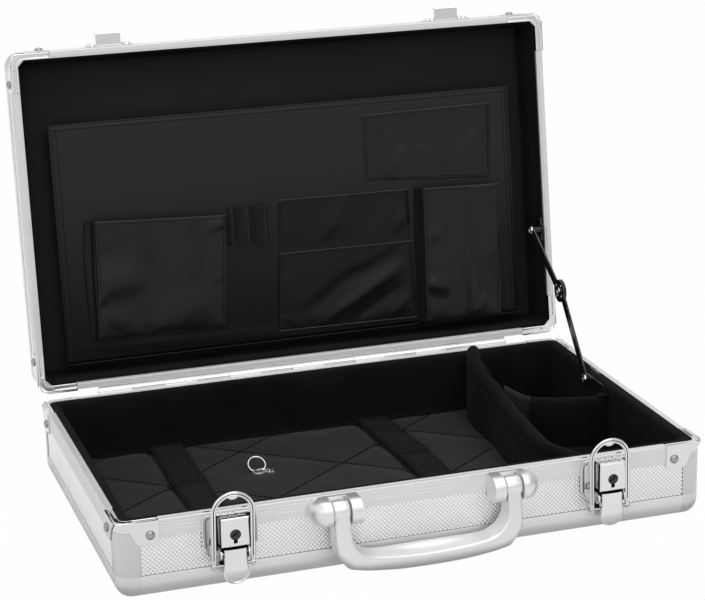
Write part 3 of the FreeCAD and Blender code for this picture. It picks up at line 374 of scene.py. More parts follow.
def plain_material(name, colour, rough, metallic, scale, depth, level=0.5):
    """Small parts' finish: a toned colour with a grain."""
    tree, shader = start_material(name, Metallic=metallic, Specular_IOR_Level=level)
    where = put(tree, "TexCoord").outputs["Object"]
    grain = use(tree, "grain", Vector=where, Scale=scale, Stretch=1.0)
    tree.links.new(tint(tree, colour, grain["Tone"], 0.7, 1.3), shader.inputs["Base Color"])
    tree.links.new(ramp(tree, grain["Tone"], 0.3, 0.7, rough - 0.06, rough + 0.06),
                   shader.inputs["Roughness"])
    bump(tree, shader, grain["Height"], depth)


def make_materials():
    """Every finish of the case, from its colours and detail sizes."""
    c, s = colours(), sizes()
    # The sheet between the dots takes a darker colour than the dots, as painted shade.
    metal("panel", c.hollow_shade, 0.40, 0.05, 900.0, 0.00001, shine=0.96)
    metal("dots", c.sheet, 0.30, 0.04, 900.0, 0.000005, shine=0.96)
    metal("rail", c.rail, 0.40, 0.04, 700.0, 0.000006, stretch=0.06, shine=0.72)
    metal("rim", c.rim, 0.42, 0.04, 700.0, 0.000006, stretch=0.06, shine=0.25)
    metal("bead", c.sheet, 0.22, 0.03, 500.0, 0.000004, shine=0.75)
    metal("post", c.post, 0.38, 0.04, 800.0, 0.00001, shine=0.85)
    metal("plate", c.chrome, 0.32, 0.05, 400.0, 0.00001, shine=0.9)
    metal("dark_chrome", c.dark_metal, 0.16, 0.04, 300.0, 0.000006, wear=0.05)
    metal("cast", c.cast, 0.42, 0.07, 500.0, 0.00003, shine=0.85)
    metal("chrome", c.chrome, 0.10, 0.04, 220.0, 0.000004, wear=0.05)
    metal("dull_chrome", c.chrome, 0.20, 0.06, 320.0, 0.00001, wear=0.10)
    metal("silver_paint", c.silver, 0.34, 0.02, 1100.0, 0.000002, shine=0.70, wear=0.05)
    metal("hinge_metal", c.rail, 0.33, 0.06, 400.0, 0.00001, shine=0.97)
    metal("stay_black", c.black_paint, 0.30, 0.08, 500.0, 0.00002, shine=0.35, wear=0.35)
    velvet_material()
    cloth_material("quilt", c.quilt, s.weave * 1.2, 0.00006, 0.60, crease=0.0009,
                   level=0.22)
    # The organizer's nylon is darker towards the bottom of the open lid: painted shade.
    cloth_material("nylon", c.nylon, s.weave, 0.00003, 0.42, sheen=0.06, crease=0.0002,
                   level=0.16, shade_below=(0.10, 0.22, 0.15))
    for name, level in (("pocket_nylon", 0.24), ("centre_nylon", 0.15)):
        cloth_material(name, c.pocket, s.weave * 0.8, 0.00001, 0.34, sheen=0.05,
                       crease=0.0004, spread=0.04, level=level)
    cloth_material("lid_cloth", c.lid_cloth, s.weave, 0.00004, 0.75, sheen=0.10, level=0.15)
    cloth_material("webbing", c.webbing, 0.0016, 0.0005, 0.62, sheen=0.06, level=0.08,
                   tones=(0.1, 2.2))
    cloth_material("knit", c.nylon, 0.0009, 0.0003, 0.85, sheen=0.15, level=0.15)
    # The hems' lighter colour is a painted highlight.
    cloth_material("hem", c.hem, s.weave, 0.00001, 0.35, level=0.4)
    cloth_material("thread", c.thread, 0.0004, 0.00005, 0.7, sheen=0.02, level=0.08)
    # Flat dark grey used for painted shade along the seams of the sheets.
    plain_material("joint", (0.10, 0.10, 0.10), 0.6, 0.0, 600.0, 0.00001, 0.2)
    plain_material("shade", (0.004, 0.004, 0.004), 0.7, 0.0, 600.0, 0.00001, 0.08)
    plain_material("lock_core", (0.05, 0.05, 0.05), 0.35, 0.8, 600.0, 0.00001)


# ------------------------------------------------------------------ mesh building
def lay_out(points):
    """Map of a grid in metres, from the mean lengths of its rows and columns."""
    along = np.linalg.norm(np.diff(points, axis=0), axis=2).mean(axis=1)
    across = np.linalg.norm(np.diff(points, axis=1), axis=2).mean(axis=0)
    u = np.concatenate([[0], np.cumsum(along)])
    v = np.concatenate([[0], np.cumsum(across)])
    return np.stack(np.meshgrid(u, v, indexing="ij"), axis=-1) * MM


class Shape:
    """Vertices in millimetres with faces and a map in metres, gathered step by step."""

    def __init__(self):
        self.points, self.faces, self.flat, self.count = [], [], [], 0

    def add(self, points, faces, flat=None):
        points = np.asarray(points, float).reshape(-1, 3)
        flat = points[:, :2] * MM if flat is None else np.asarray(flat).reshape(-1, 2)
        self.faces += [[int(i) + self.count for i in face] for face in faces]
        self.points.append(points)
        self.flat.append(flat)
        self.count += len(points)
        return self

    def grid(self, points, wrap=(False, False), flat=None):
        """Quads over rows and columns of points, joined end to start where wrapped."""
        points = np.asarray(points, float)
        index = np.arange(points.shape[0] * points.shape[1]).reshape(points.shape[:2])
        if wrap[0]:
            index = np.vstack([index, index[:1]])
        if wrap[1]:
            index = np.hstack([index, index[:, :1]])
        quads = np.stack([index[:-1, :-1], index[1:, :-1], index[1:, 1:], index[:-1, 1:]], -1)
        return self.add(points, quads.reshape(-1, 4), lay_out(points) if flat is None else flat)

    def tube(self, rings):
        """Rings joined into a tube with both its ends shut."""
        rings = np.asarray(rings, float)
        start, (count, sides) = self.count, rings.shape[:2]
        self.grid(rings, (False, True))
        self.faces.append([start + k for k in range(sides)])
        self.faces.append([start + (count - 1) * sides + k for k in reversed(range(sides))])
        return self

    def sweep(self, path, section, up=(0, 0, 1), closed=False, scales=None):
        """A closed section, in (side, up) millimetres, carried along a path with its ends shut."""
        rings = swept(path, section, up, closed, scales)
        return self.grid(rings, (True, True)) if closed else self.tube(rings)

    def blob(self, centre, radii, steps=10):
        """Ellipsoid, as stitched-down knots and rounded ends need."""
        rows = [[(centre[0] + radii[0] * math.sin(a) * math.cos(b),
                  centre[1] + radii[1] * math.sin(a) * math.sin(b),
                  centre[2] + radii[2] * math.cos(a))
                 for b in np.linspace(0, 2 * math.pi, steps, endpoint=False)]
                for a in np.linspace(0.05, math.pi - 0.05, steps)]
        return self.grid(rows, (False, True))


def swept(path, section, up=(0, 0, 1), closed=False, scales=None):
    """Rings of a section carried along a path, each turned square to the path."""
    path, section = np.asarray(path, float), np.asarray(section, float)
    if closed:
        tangent = np.roll(path, -1, axis=0) - np.roll(path, 1, axis=0)
    else:
        tangent = np.gradient(path, axis=0)
    tangent /= np.linalg.norm(tangent, axis=1)[:, None]
    side = np.cross(tangent, np.asarray(up, float))
    side /= np.linalg.norm(side, axis=1)[:, None]
    top = np.cross(side, tangent)
    scale = np.ones(len(path)) if scales is None else np.asarray(scales, float)
    return (path[:, None] + scale[:, None, None]
            * (section[None, :, :1] * side[:, None] + section[None, :, 1:] * top[:, None]))


def circle(radius, sides=12, squash=1.0):
    """Round section; squash is its height over its width."""
    turn = np.linspace(0, 2 * math.pi, sides, endpoint=False)
    return np.stack([radius * np.cos(turn), radius * squash * np.sin(turn)], -1)


def smooth_path(points, count, closed=False):
    """Catmull-Rom curve through points, evenly spaced by length."""
    p = np.asarray(points, float)
    if closed:
        p = np.vstack([p[-1:], p, p[:2]])
    else:
        p = np.vstack([2 * p[0] - p[1], p, 2 * p[-1] - p[-2]])
    t = np.linspace(0, 1, 24, endpoint=False)[:, None]
    runs = []
    for a, b, c, d in zip(p, p[1:], p[2:], p[3:]):
        runs.append(0.5 * (2 * b + (c - a) * t + (2 * a - 5 * b + 4 * c - d) * t ** 2
                           + (3 * b - a - 3 * c + d) * t ** 3))
    dense = np.vstack(runs + [p[-2:-1]])
    length = np.concatenate([[0], np.cumsum(np.linalg.norm(np.diff(dense, axis=0), axis=1))])
    want = np.linspace(0, length[-1], count, endpoint=not closed)
    return np.stack([np.interp(want, length, dense[:, k]) for k in range(p.shape[1])], -1)


def rounded_rectangle(half_x, half_y, radius, step=6):
    """Outline from the right side's foot, counter-clockwise, as (x, y) points."""
    points = []
    for cx, cy, start in ((half_x - radius, -half_y + radius, -90),
                          (half_x - radius, half_y - radius, 0),
                          (-half_x + radius, half_y - radius, 90),
                          (-half_x + radius, -half_y + radius, 180)):
        for k in range(step + 1):
            a = math.radians(start + 90 * k / step)
            points.append((cx + radius * math.cos(a), cy + radius * math.sin(a)))
    return np.array(points)


def make(name, shape, material, body, place=None, replaces=(), angle=40.0, subdivide=0,
         bevel=0.0, thick=0.0):
    """Turn a shape into an object that rides on a body; modifiers are added, not applied."""
    points = np.vstack(shape.points)
    if place is not None:
        turn = np.array(place)
        points = points @ turn[:3, :3].T + turn[:3, 3]
    mesh = bpy.data.meshes.new(name)
    mesh.from_pydata((points * MM).tolist(), [], shape.faces)
    flat = np.vstack(shape.flat)
    loops = np.zeros(len(mesh.loops), np.int32)
    mesh.loops.foreach_get("vertex_index", loops)
    layer = mesh.uv_layers.new(name="UVMap")
    layer.data.foreach_set("uv", flat[loops].astype(np.float32).ravel())
    work = bmesh.new()
    work.from_mesh(mesh)
    bmesh.ops.recalc_face_normals(work, faces=work.faces)
    work.to_mesh(mesh)
    work.free()
    mesh.polygons.foreach_set("use_smooth", [True] * len(mesh.polygons))
    mesh.set_sharp_from_angle(angle=math.radians(angle))
    mesh.materials.append(MATERIALS[material])
    made = bpy.data.objects.new(name, mesh)
    bpy.context.scene.collection.objects.link(made)
    if thick:
        shell = made.modifiers.new("Thickness", "SOLIDIFY")
        shell.thickness = thick * MM
        shell.offset = 0.0
    if bevel:
        soften(made, bevel)
    if subdivide:
        smooth = made.modifiers.new("Smooth", "SUBSURF")
        smooth.levels = smooth.render_levels = subdivide
    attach(made, body)
    if replaces:
        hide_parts(*replaces)
    return made


def soften(made, width, segments=2, angle=30.0):
    """Round an object's sharp edges and even out its shading."""
    bevel = made.modifiers.new("Edge", "BEVEL")
    bevel.width = width * MM
    bevel.segments = segments
    bevel.limit_method = "ANGLE"
    bevel.angle_limit = math.radians(angle)
    bevel.use_clamp_overlap = True
    even = made.modifiers.new("Even", "WEIGHTED_NORMAL")
    even.keep_sharp = False


def dress(material, *names, round_off=0.0):
    """Give solids of the frame a finish and, where wanted, softened edges."""
    for name in names:
        node = NODES[name]
        node.data.materials.clear()
        node.data.materials.append(MATERIALS[material])
        if round_off:
            weld = node.modifiers.new("Weld", "WELD")
            weld.merge_threshold = 0.000002
            soften(node, round_off)


def stitch_run(shape, path, outward, length=1.7, pitch=2.6, radius=0.28, slant=0.0):
    """Sewn stitches along a path: small rounded bars lying on the cloth."""
    path = np.asarray(path, float)
    steps = np.linalg.norm(np.diff(path, axis=0), axis=1)
    reach = np.concatenate([[0], np.cumsum(steps)])
    out = np.asarray(outward, float)
    out = out / np.linalg.norm(out)
    for mid in np.arange(pitch * 0.5, reach[-1], pitch):
        here = np.array([np.interp(mid, reach, path[:, k]) for k in range(3)])
        ahead = np.array([np.interp(min(mid + 0.5, reach[-1]), reach, path[:, k])
                          for k in range(3)]) - here
        if np.linalg.norm(ahead) < 1e-6:
            continue
        ahead /= np.linalg.norm(ahead)
        ahead = ahead + slant * np.cross(out, ahead)
        ahead /= np.linalg.norm(ahead)
        ends = [(-0.5, 0.25), (-0.32, 0.9), (0.0, 1.1), (0.32, 0.9), (0.5, 0.25)]
        line = np.array([here + ahead * length * t + out * radius * (0.75 * w - 0.1)
                         for t, w in ends])
        shape.sweep(line, circle(radius, 5), up=out, scales=[w for _, w in ends])
    return shape


# ------------------------------------------------------------------ stage
CAMERA_SPOT = (-0.4955, -1.5004, 0.6400)
CAMERA_TURN = (18.098, 16.994, 1.152)       # azimuth, look-down, roll in degrees
CAMERA_LENS = 110.645                       # on a 36 mm wide sensor


class CASE_OT_stage(bpy.types.Operator):
    """Set the floor, the studio light, the world and the camera"""
    bl_idname = "case.stage"
    bl_label = "Stage and Light"

    def execute(self, context):
        scene = context.scene
        scene.view_settings.view_transform = "Standard"
        self.camera(scene)
        self.floor(scene)
        self.lamps(scene)
        self.world(scene)
        return {"FINISHED"}

    def camera(self, scene):
        """Camera in front, a little to the left and above."""
        azimuth, down, roll = (math.radians(a) for a in CAMERA_TURN)
        ahead = Vector((math.sin(azimuth) * math.cos(down), math.cos(azimuth) * math.cos(down),
                        -math.sin(down)))
        right = ahead.cross(Vector((0, 0, 1))).normalized()
        below = ahead.cross(right)
        side = math.cos(roll) * right + math.sin(roll) * below
        foot = -math.sin(roll) * right + math.cos(roll) * below
        data = bpy.data.cameras.new("camera")
        data.lens, data.sensor_width = CAMERA_LENS, 36.0
        data.clip_start, data.clip_end = 0.05, 60.0
        made = bpy.data.objects.new("camera", data)
        turn = Matrix((side, -foot, -ahead)).transposed().to_4x4()
        made.matrix_world = Matrix.Translation(CAMERA_SPOT) @ turn
        scene.collection.objects.link(made)
        scene.camera = made

    def floor(self, scene):
        """Wide pale floor, white to the camera, that keeps the case's shadow; in reflections its
        glow is dimmed near the case and under the grip, a painted shadow.
        """
        made = bpy.data.materials.new("studio_floor")
        made.use_nodes = True
        tree = made.node_tree
        shader = tree.nodes["Principled BSDF"]
        noise = put(tree, "TexNoise", {"Scale": 3.0}).outputs["Fac"]
        tree.links.new(tint(tree, colours().floor, noise, 0.99, 1.01),
                       shader.inputs["Base Color"])
        shader.inputs["Roughness"].default_value = 0.9
        shader.inputs["Specular IOR Level"].default_value = 0.1
        path = put(tree, "LightPath").outputs
        place = put(tree, "SeparateXYZ", {0: put(tree, "TexCoord").outputs["Object"]}).outputs
        # Painted shadow: the floor's glow, as seen in reflections, is dimmed near the case and
        # under the grip.
        case_shadow = ramp(tree, self.distance(tree, place, 0.0, HALF_W, HALF_D), 0.0, 0.045,
                         0.40, 1.0)
        grip_shadow = ramp(tree, self.distance(tree, place, -150.0, 66.0, 9.0), 0.0, 0.026,
                         0.30, 1.0)
        painted_shadow = maths(tree, "MINIMUM", case_shadow, grip_shadow)
        level = put(tree, "Mix", {0: path["Is Camera Ray"], 2: painted_shadow, 3: 1.0}).outputs[0]
        glow = put(tree, "Emission", {"Color": (1, 1, 1, 1), "Strength": level})
        seen = maths(tree, "MAXIMUM", path["Is Camera Ray"], path["Is Glossy Ray"])
        share = maths(tree, "MULTIPLY", seen, 0.985)
        both = put(tree, "MixShader", {0: share, 1: shader.outputs[0], 2: glow.outputs[0]})
        tree.links.new(both.outputs[0], tree.nodes["Material Output"].inputs["Surface"])
        mesh = bpy.data.meshes.new("studio_floor")
        reach = 12.0
        mesh.from_pydata([(-reach, -reach, -0.0003), (reach, -reach, -0.0003),
                          (reach, reach, -0.0003), (-reach, reach, -0.0003)], [], [(0, 1, 2, 3)])
        mesh.materials.append(made)
        plane = bpy.data.objects.new("studio_floor", mesh)
        scene.collection.objects.link(plane)

    def distance(self, tree, place, middle, half_x, half_y):
        """Metres from a point of the floor to a rectangle on it, centred at x = 0."""
        past = []
        for k, centre, half in ((0, 0.0, half_x), (1, middle, half_y)):
            away = maths(tree, "ABSOLUTE", maths(tree, "SUBTRACT", place[k], centre * MM))
            over = maths(tree, "MAXIMUM", maths(tree, "SUBTRACT", away, half * MM), 0.0)
            past.append(maths(tree, "MULTIPLY", over, over))
        return maths(tree, "SQRT", maths(tree, "ADD", *past))

    def lamps(self, scene):
        """Three square lamps, all aimed at the case."""
        aim = Vector((0.0, 0.0, 0.12))
        for name, spot, size, power in (
                ("key", (0.15, -1.9, 2.3), 2.6, 18.0),
                ("fill", (-1.9, -1.5, 1.4), 1.8, 4.5),
                ("top", (0.2, 0.4, 2.6), 1.8, 11.0)):
            data = bpy.data.lights.new(name, "AREA")
            data.shape, data.size, data.energy = "SQUARE", size, power
            made = bpy.data.objects.new(name, data)
            made.location = spot
            made.rotation_euler = (aim - Vector(spot)).to_track_quat("-Z", "Y").to_euler()
            scene.collection.objects.link(made)

    def world(self, scene):
        """Even light, white behind the case, and a softer sky in its reflections."""
        made = bpy.data.worlds.new("studio_world")
        made.use_nodes = True
        tree = made.node_tree
        tree.nodes.clear()
        path = put(tree, "LightPath").outputs
        up = put(tree, "SeparateXYZ", {0: put(tree, "TexCoord").outputs["Generated"]}).outputs
        gloss = ramp(tree, up[2], 0.0, 0.5, 0.74, 1.0)
        side = ramp(tree, up[0], 0.30, 0.85, 0.0, 0.38)
        shade = maths(tree, "SUBTRACT", gloss, side, True)
        level = put(tree, "Mix", {0: path["Is Glossy Ray"], 2: 0.34, 3: shade})
        seen = maths(tree, "MAXIMUM", path["Is Camera Ray"], path["Is Transmission Ray"])
        full = put(tree, "Mix", {0: seen, 2: level.outputs[0], 3: 1.0})
        back = put(tree, "Background", {"Color": (1, 1, 1, 1), "Strength": full.outputs[0]})
        out = tree.nodes.new("ShaderNodeOutputWorld")
        tree.links.new(back.outputs[0], out.inputs["Surface"])
        scene.world = made


# ------------------------------------------------------------------ shell
def dots_over(origin, along, across, outward, length, width, sides, tall):
    """Raised dots in staggered rows over a rectangle."""
    pitch, rise = sizes().dot_pitch / MM, sizes().dot_height / MM
    radius = pitch * 0.33
    spots = []
    rows = int(width / (pitch / 2))
    start = (width - (rows - 1) * pitch / 2) / 2
    for row in range(rows):
        shift = pitch / 2 if row % 2 else 0.0
        count = int((length - 2 * radius - shift) / pitch)
        left = (length - count * pitch) / 2 - pitch / 4 + shift
        for k in range(count + 1):
            a, b = left + k * pitch, start + row * pitch / 2
            if radius < a < length - radius:
                spots.append((a, b))
    spots = np.array(spots)
    turn = np.linspace(0, 2 * math.pi, sides, endpoint=False)
    rings = [(radius, 0.0)] + ([(radius * 0.62, rise * 0.72)] if tall else [])
    local = [(r * math.cos(t), r * math.sin(t), h) for r, h in rings for t in turn]
    local.append((0.0, 0.0, rise))
    local = np.array(local)
    faces = []
    for ring in range(len(rings) - 1):
        for k in range(sides):
            n = (k + 1) % sides
            faces.append((ring * sides + k, ring * sides + n, (ring + 1) * sides + n,
                          (ring + 1) * sides + k))
    last, tip = (len(rings) - 1) * sides, len(local) - 1
    faces += [(last + k, last + (k + 1) % sides, tip) for k in range(sides)]
    flat = spots[:, None, :] + local[None, :, :2]
    rise_all = np.broadcast_to(local[None, :, 2:], flat.shape[:2] + (1,))
    o, a, b, n = (np.asarray(v, float) for v in (origin, along, across, outward))
    points = o + flat[..., :1] * a + flat[..., 1:] * b + rise_all * n
    shape = Shape()
    every = (np.arange(len(spots)) * len(local))
    for face in faces:
        shape.faces += (every[:, None] + np.array(face)).tolist()
    shape.points.append(points.reshape(-1, 3))
    shape.flat.append(flat.reshape(-1, 2) * MM)
    shape.count = len(shape.points[0])
    return shape


class CASE_OT_shell(bpy.types.Operator):
    """Finish the extrusions and sheets and raise the dots on the sheets"""
    bl_idname = "case.shell"
    bl_label = "Aluminium Shell"

    def execute(self, context):
        for part in ("base", "lid"):
            dress("rail", part + "_edge_rails", round_off=0.15)
            dress("rim", part + "_rim_rails", round_off=0.15)
            dress("post", part + "_corner_posts", round_off=0.15)
            dress("cast", part + "_ball_corners", round_off=0.25)
            dress("panel", part + "_wall_panels")
            dress("dull_chrome", part + "_rim_caps", round_off=0.35)
        dress("panel", "base_floor_panel", "lid_top_panel")
        for part, low, high, place in (("base", RAIL_H, BASE_H - RIM_H, None),
                                       ("lid", RIM_H, LID_H - RAIL_H, LID)):
            self.walls(part, low + 0.2, high - 0.2, place)
            self.beads(part, BASE_H if part == "base" else 0.0, place)
        self.faces()
        return {"FINISHED"}

    def beads(self, part, height, place):
        """Two bright rolled lips round the top of every rim cap, clear of the rim's tongue."""
        shape = Shape()
        level = height - 0.62 if part == "base" else 0.62
        start_x, start_y = HALF_W - CAP_L + 1.4, HALF_D - CAP_L + 1.4
        for inset, radius, corner in ((1.05, 0.75, 3.4), (4.65, 0.75, 5.0)):
            x, y = HALF_W - inset, HALF_D - inset
            for sx in (-1, 1):
                for sy in (-1, 1):
                    turn = [(x - corner * (1 - math.sin(a)), y - corner * (1 - math.cos(a)))
                            for a in np.linspace(0, math.pi / 2, 8)]
                    line = [(start_x, y)] + turn + [(x, start_y)]
                    shape.sweep([(sx * u, sy * v, level) for u, v in line],
                                circle(radius, 10))
        make(part + "_cap_beads", shape, "bead", part, place)

    def walls(self, part, low, high, place):
        """Dots on the four walls between two levels of that half of the shell."""
        x, y, clear = HALF_W - 0.78, HALF_D - 0.78, CORNER_L + 0.3
        for name, corner, along, outward, reach in (
                ("front", (-x, -y), (1, 0), (0, -1), HALF_W),
                ("back", (x, y), (-1, 0), (0, 1), HALF_W),
                ("left", (-x, y), (0, -1), (-1, 0), HALF_D),
                ("right", (x, -y), (0, 1), (1, 0), HALF_D)):
            start = np.array(corner) + clear * np.array(along)
            shape = dots_over((*start, low), (*along, 0), (0, 0, 1), (*outward, 0),
                              2 * (reach - clear), high - low, 8, True)
            make("%s_%s_dots" % (part, name), shape, "dots", part, place)

    def faces(self):
        """Dots on the pressed field of the lid's top."""
        x, y = HALF_W - RAIL_H - 3.5, HALF_D - RAIL_H - 3.5
        top = dots_over((-x, -y, LID_H), (1, 0, 0), (0, 1, 0), (0, 0, 1), 2 * x, 2 * y, 6, False)
        make("lid_top_dots", top, "dots", "lid", LID)


# ------------------------------------------------------------------ soft goods
def rings_round(profile, half_x, half_y, low_radius=1.5, step=6):
    """Rings of a rounded tray: each profile point is (inset, height) in millimetres."""
    rings = []
    for inset, height in profile:
        outline = rounded_rectangle(half_x - inset, half_y - inset,
                                    max(low_radius, 7.5 - 0.12 * inset), step)
        rings.append(np.column_stack([outline, np.full(len(outline), height)]))
    return np.array(rings)


def inflate(points, held, pressure, outward, grow=0.0, frames=16, stiff=12.0, bend=0.3,
            limit=6.0):
    """Blow a held sheet up with the cloth solver and return its rows of points."""
    points = np.asarray(points, float)
    shape = Shape().grid(points)
    mesh = bpy.data.meshes.new("cloth_work")
    mesh.from_pydata((points.reshape(-1, 3) * MM).tolist(), [], shape.faces)
    mesh.update()
    facing = np.mean([np.dot(p.normal, outward) for p in mesh.polygons])
    if facing < 0:
        mesh.flip_normals()
    work = bpy.data.objects.new("cloth_work", mesh)
    scene = bpy.context.scene
    scene.collection.objects.link(work)
    pins = work.vertex_groups.new(name="held")
    pins.add([int(i) for i in np.flatnonzero(np.asarray(held).ravel())], 1.0, "REPLACE")
    cloth = work.modifiers.new("Cloth", "CLOTH")
    how = cloth.settings
    how.quality = 6
    how.mass = 0.15
    how.tension_stiffness = how.compression_stiffness = stiff
    how.shear_stiffness = stiff * 0.4
    how.bending_stiffness = bend
    how.vertex_group_mass = "held"
    how.use_pressure = True
    how.uniform_pressure_force = pressure
    how.effector_weights.gravity = 0.0
    how.shrink_min = -grow
    cloth.point_cache.frame_start, cloth.point_cache.frame_end = 1, frames
    for step in range(1, frames + 1):
        scene.frame_set(step)
    solved = work.evaluated_get(bpy.context.evaluated_depsgraph_get()).to_mesh()
    moved = np.zeros(len(solved.vertices) * 3)
    solved.vertices.foreach_get("co", moved)
    moved = moved.reshape(points.shape) / MM
    bpy.data.objects.remove(work)
    scene.frame_set(1)
    shift = moved - points
    size = np.linalg.norm(shift, axis=2, keepdims=True)
    return points + shift * np.minimum(1.0, limit / np.maximum(size, 1e-6))


def patch(corners, rows, columns, height):
    """Bilinear sheet over four (x, y) corners: mouth left, mouth right, foot right, foot left."""
    a, b, c, d = (np.array([*corner, height], float) for corner in corners)
    v = np.linspace(0, 1, rows)[:, None, None]
    u = np.linspace(0, 1, columns)[None, :, None]
    return (1 - v) * ((1 - u) * a + u * b) + v * ((1 - u) * d + u * c)


def creases(points, ridges):
    """Raise soft folds on a sheet: each is (x0, y0, x1, y1, width, height) in millimetres."""
    out = points.copy()
    for x0, y0, x1, y1, width, height in ridges:
        start, end = np.array([x0, y0]), np.array([x1, y1])
        run = end - start
        length = np.linalg.norm(run)
        run = run / length
        flat = out[..., :2] - start
        along = flat @ run
        off = flat @ np.array([-run[1], run[0]])
        fade = np.clip(np.minimum(along, length - along) / (0.35 * length), 0, 1)
        fade = fade * fade * (3 - 2 * fade)
        out[..., 2] -= height * fade * np.exp(-(off / width) ** 2)
    return out


def border(shape_size, sides):
    """Mask of a grid's held edges: top, bottom, left, right."""
    held = np.zeros(shape_size, bool)
    edges = {"t": held[0], "b": held[-1], "l": held[:, 0], "r": held[:, -1]}
    for side in sides:
        edges[side][:] = True
    return held


def inset_path(points, side, inset, lift):
    """Path along one side of a sheet, a few millimetres in from its edge."""
    p = np.asarray(points)
    path = {"t": p[0], "b": p[-1], "l": p[:, 0], "r": p[:, -1]}[side].copy()
    axis = 1 if side in "tb" else 0
    middle = p[..., axis].mean()
    path[:, axis] += inset * np.sign(middle - path[:, axis])
    path[:, 2] += lift
    return path


def surface_at(points, x, y):
    """Height of a sheet at the grid point nearest to x, y."""
    flat = points.reshape(-1, 3)
    near = np.argmin((flat[:, 0] - x) ** 2 + (flat[:, 1] - y) ** 2)
    return flat[near, 2]


def drop_on(path, points, lift):
    """Set a path's heights to a sheet's surface plus a lift."""
    return np.array([[x, y, surface_at(points, x, y) + lift] for x, y, *_ in path])


# The strip of pile pressed down under the stay's lid bracket: where it starts and ends
# from front to back, with the slope on each side, and its height.
PRESSED_Y, PRESSED_SLOPE, PRESSED_Z = (38.0, 56.0), 4.0, 57.1
VELVET_INSET = 5.8              # outer face of the shell to the back of the linings


class CASE_OT_base_velvet(bpy.types.Operator):
    """Line the base with velvet-covered foam"""
    bl_idname = "case.base_velvet"
    bl_label = "Base Lining"

    def execute(self, context):
        profile = [(VELVET_INSET, 5.3), (VELVET_INSET, 30.0), (VELVET_INSET, 58.3), (4.5, 59.02),
                   (5.0, 59.13), (7.0, 59.2), (9.6, 59.0), (11.8, 58.1), (12.9, 56.4),
                   (13.25, 45.0), (13.3, 30.0), (13.1, 14.0), (13.6, 10.0), (15.0, 8.5),
                   (18.0, 8.05), (40.0, 8.0)]
        shape = Shape().tube(self.pressed(rings_round(profile, HALF_W, HALF_D)))
        tray = make("base_velvet", shape, "velvet", "base", angle=60,
                    replaces=("base_lining",))
        return {"FINISHED"}

    def pressed(self, rings):
        """Press the pile down where the stay's lid bracket comes when the lid is shut."""
        ahead = np.roll(rings, -1, axis=1)
        side = int(np.argmax(np.abs(ahead[0, :, 1] - rings[0, :, 1]) * (rings[0, :, 0] > 0)))
        start, end = rings[:, side], ahead[:, side]
        first, last = PRESSED_Y
        extra = []
        for y, down in ((first - PRESSED_SLOPE, False), (first, True), (last, True),
                        (last + PRESSED_SLOPE, False)):
            share = ((y - start[:, 1]) / (end[:, 1] - start[:, 1]))[:, None]
            spot = start + (end - start) * share
            if down:
                spot[:, 2] = np.minimum(spot[:, 2], PRESSED_Z)
                spot[:, 0] = np.minimum(spot[:, 0], HALF_W - VELVET_INSET)
            extra.append(spot)
        return np.concatenate([rings[:, :side + 1], np.stack(extra, 1), rings[:, side + 1:]], 1)


PAD_LEFT, PAD_HALF = -211.4, 122.4          # the pad's left edge and half its depth
QUILT_SLOPE = 0.768                         # rise of the seams for each step to the right
QUILT_UP, QUILT_DOWN = 42.3, 37.5           # where one seam of each family crosses x = 0
QUILT_STEP = 107.0                          # between the seams of a family, along y
STRAP_START, STRAP_RUN = 122.0, 242.0       # y of a strap's back end, and its reach from there
STRAP_ENDS = {"left": (-129.0, -131.5), "right": (49.5, 61.0)}     # x at the back and the front
DIVIDER_PATH = [(141.0, 122.3), (133.5, 101.0), (129.8, 75.0), (130.0, 42.0), (127.0, 10.0),
                (122.5, -30.0), (119.5, -62.0), (120.5, -88.0), (127.0, -108.0), (133.5, -122.3)]


DIVIDER_FOOT = 8.3                          # height the dividers stand at
CROSS_H = 41.2                              # height of the straight divider


def strap_middle(back, front, y):
    """Where the middle of a strap crosses the line at y."""
    return back + (front - back) * (STRAP_START - y) / STRAP_RUN


def divider_line(count):
    """The curved divider's foot, from back to front."""
    return smooth_path([(x, y, 0.0) for x, y in DIVIDER_PATH], count)


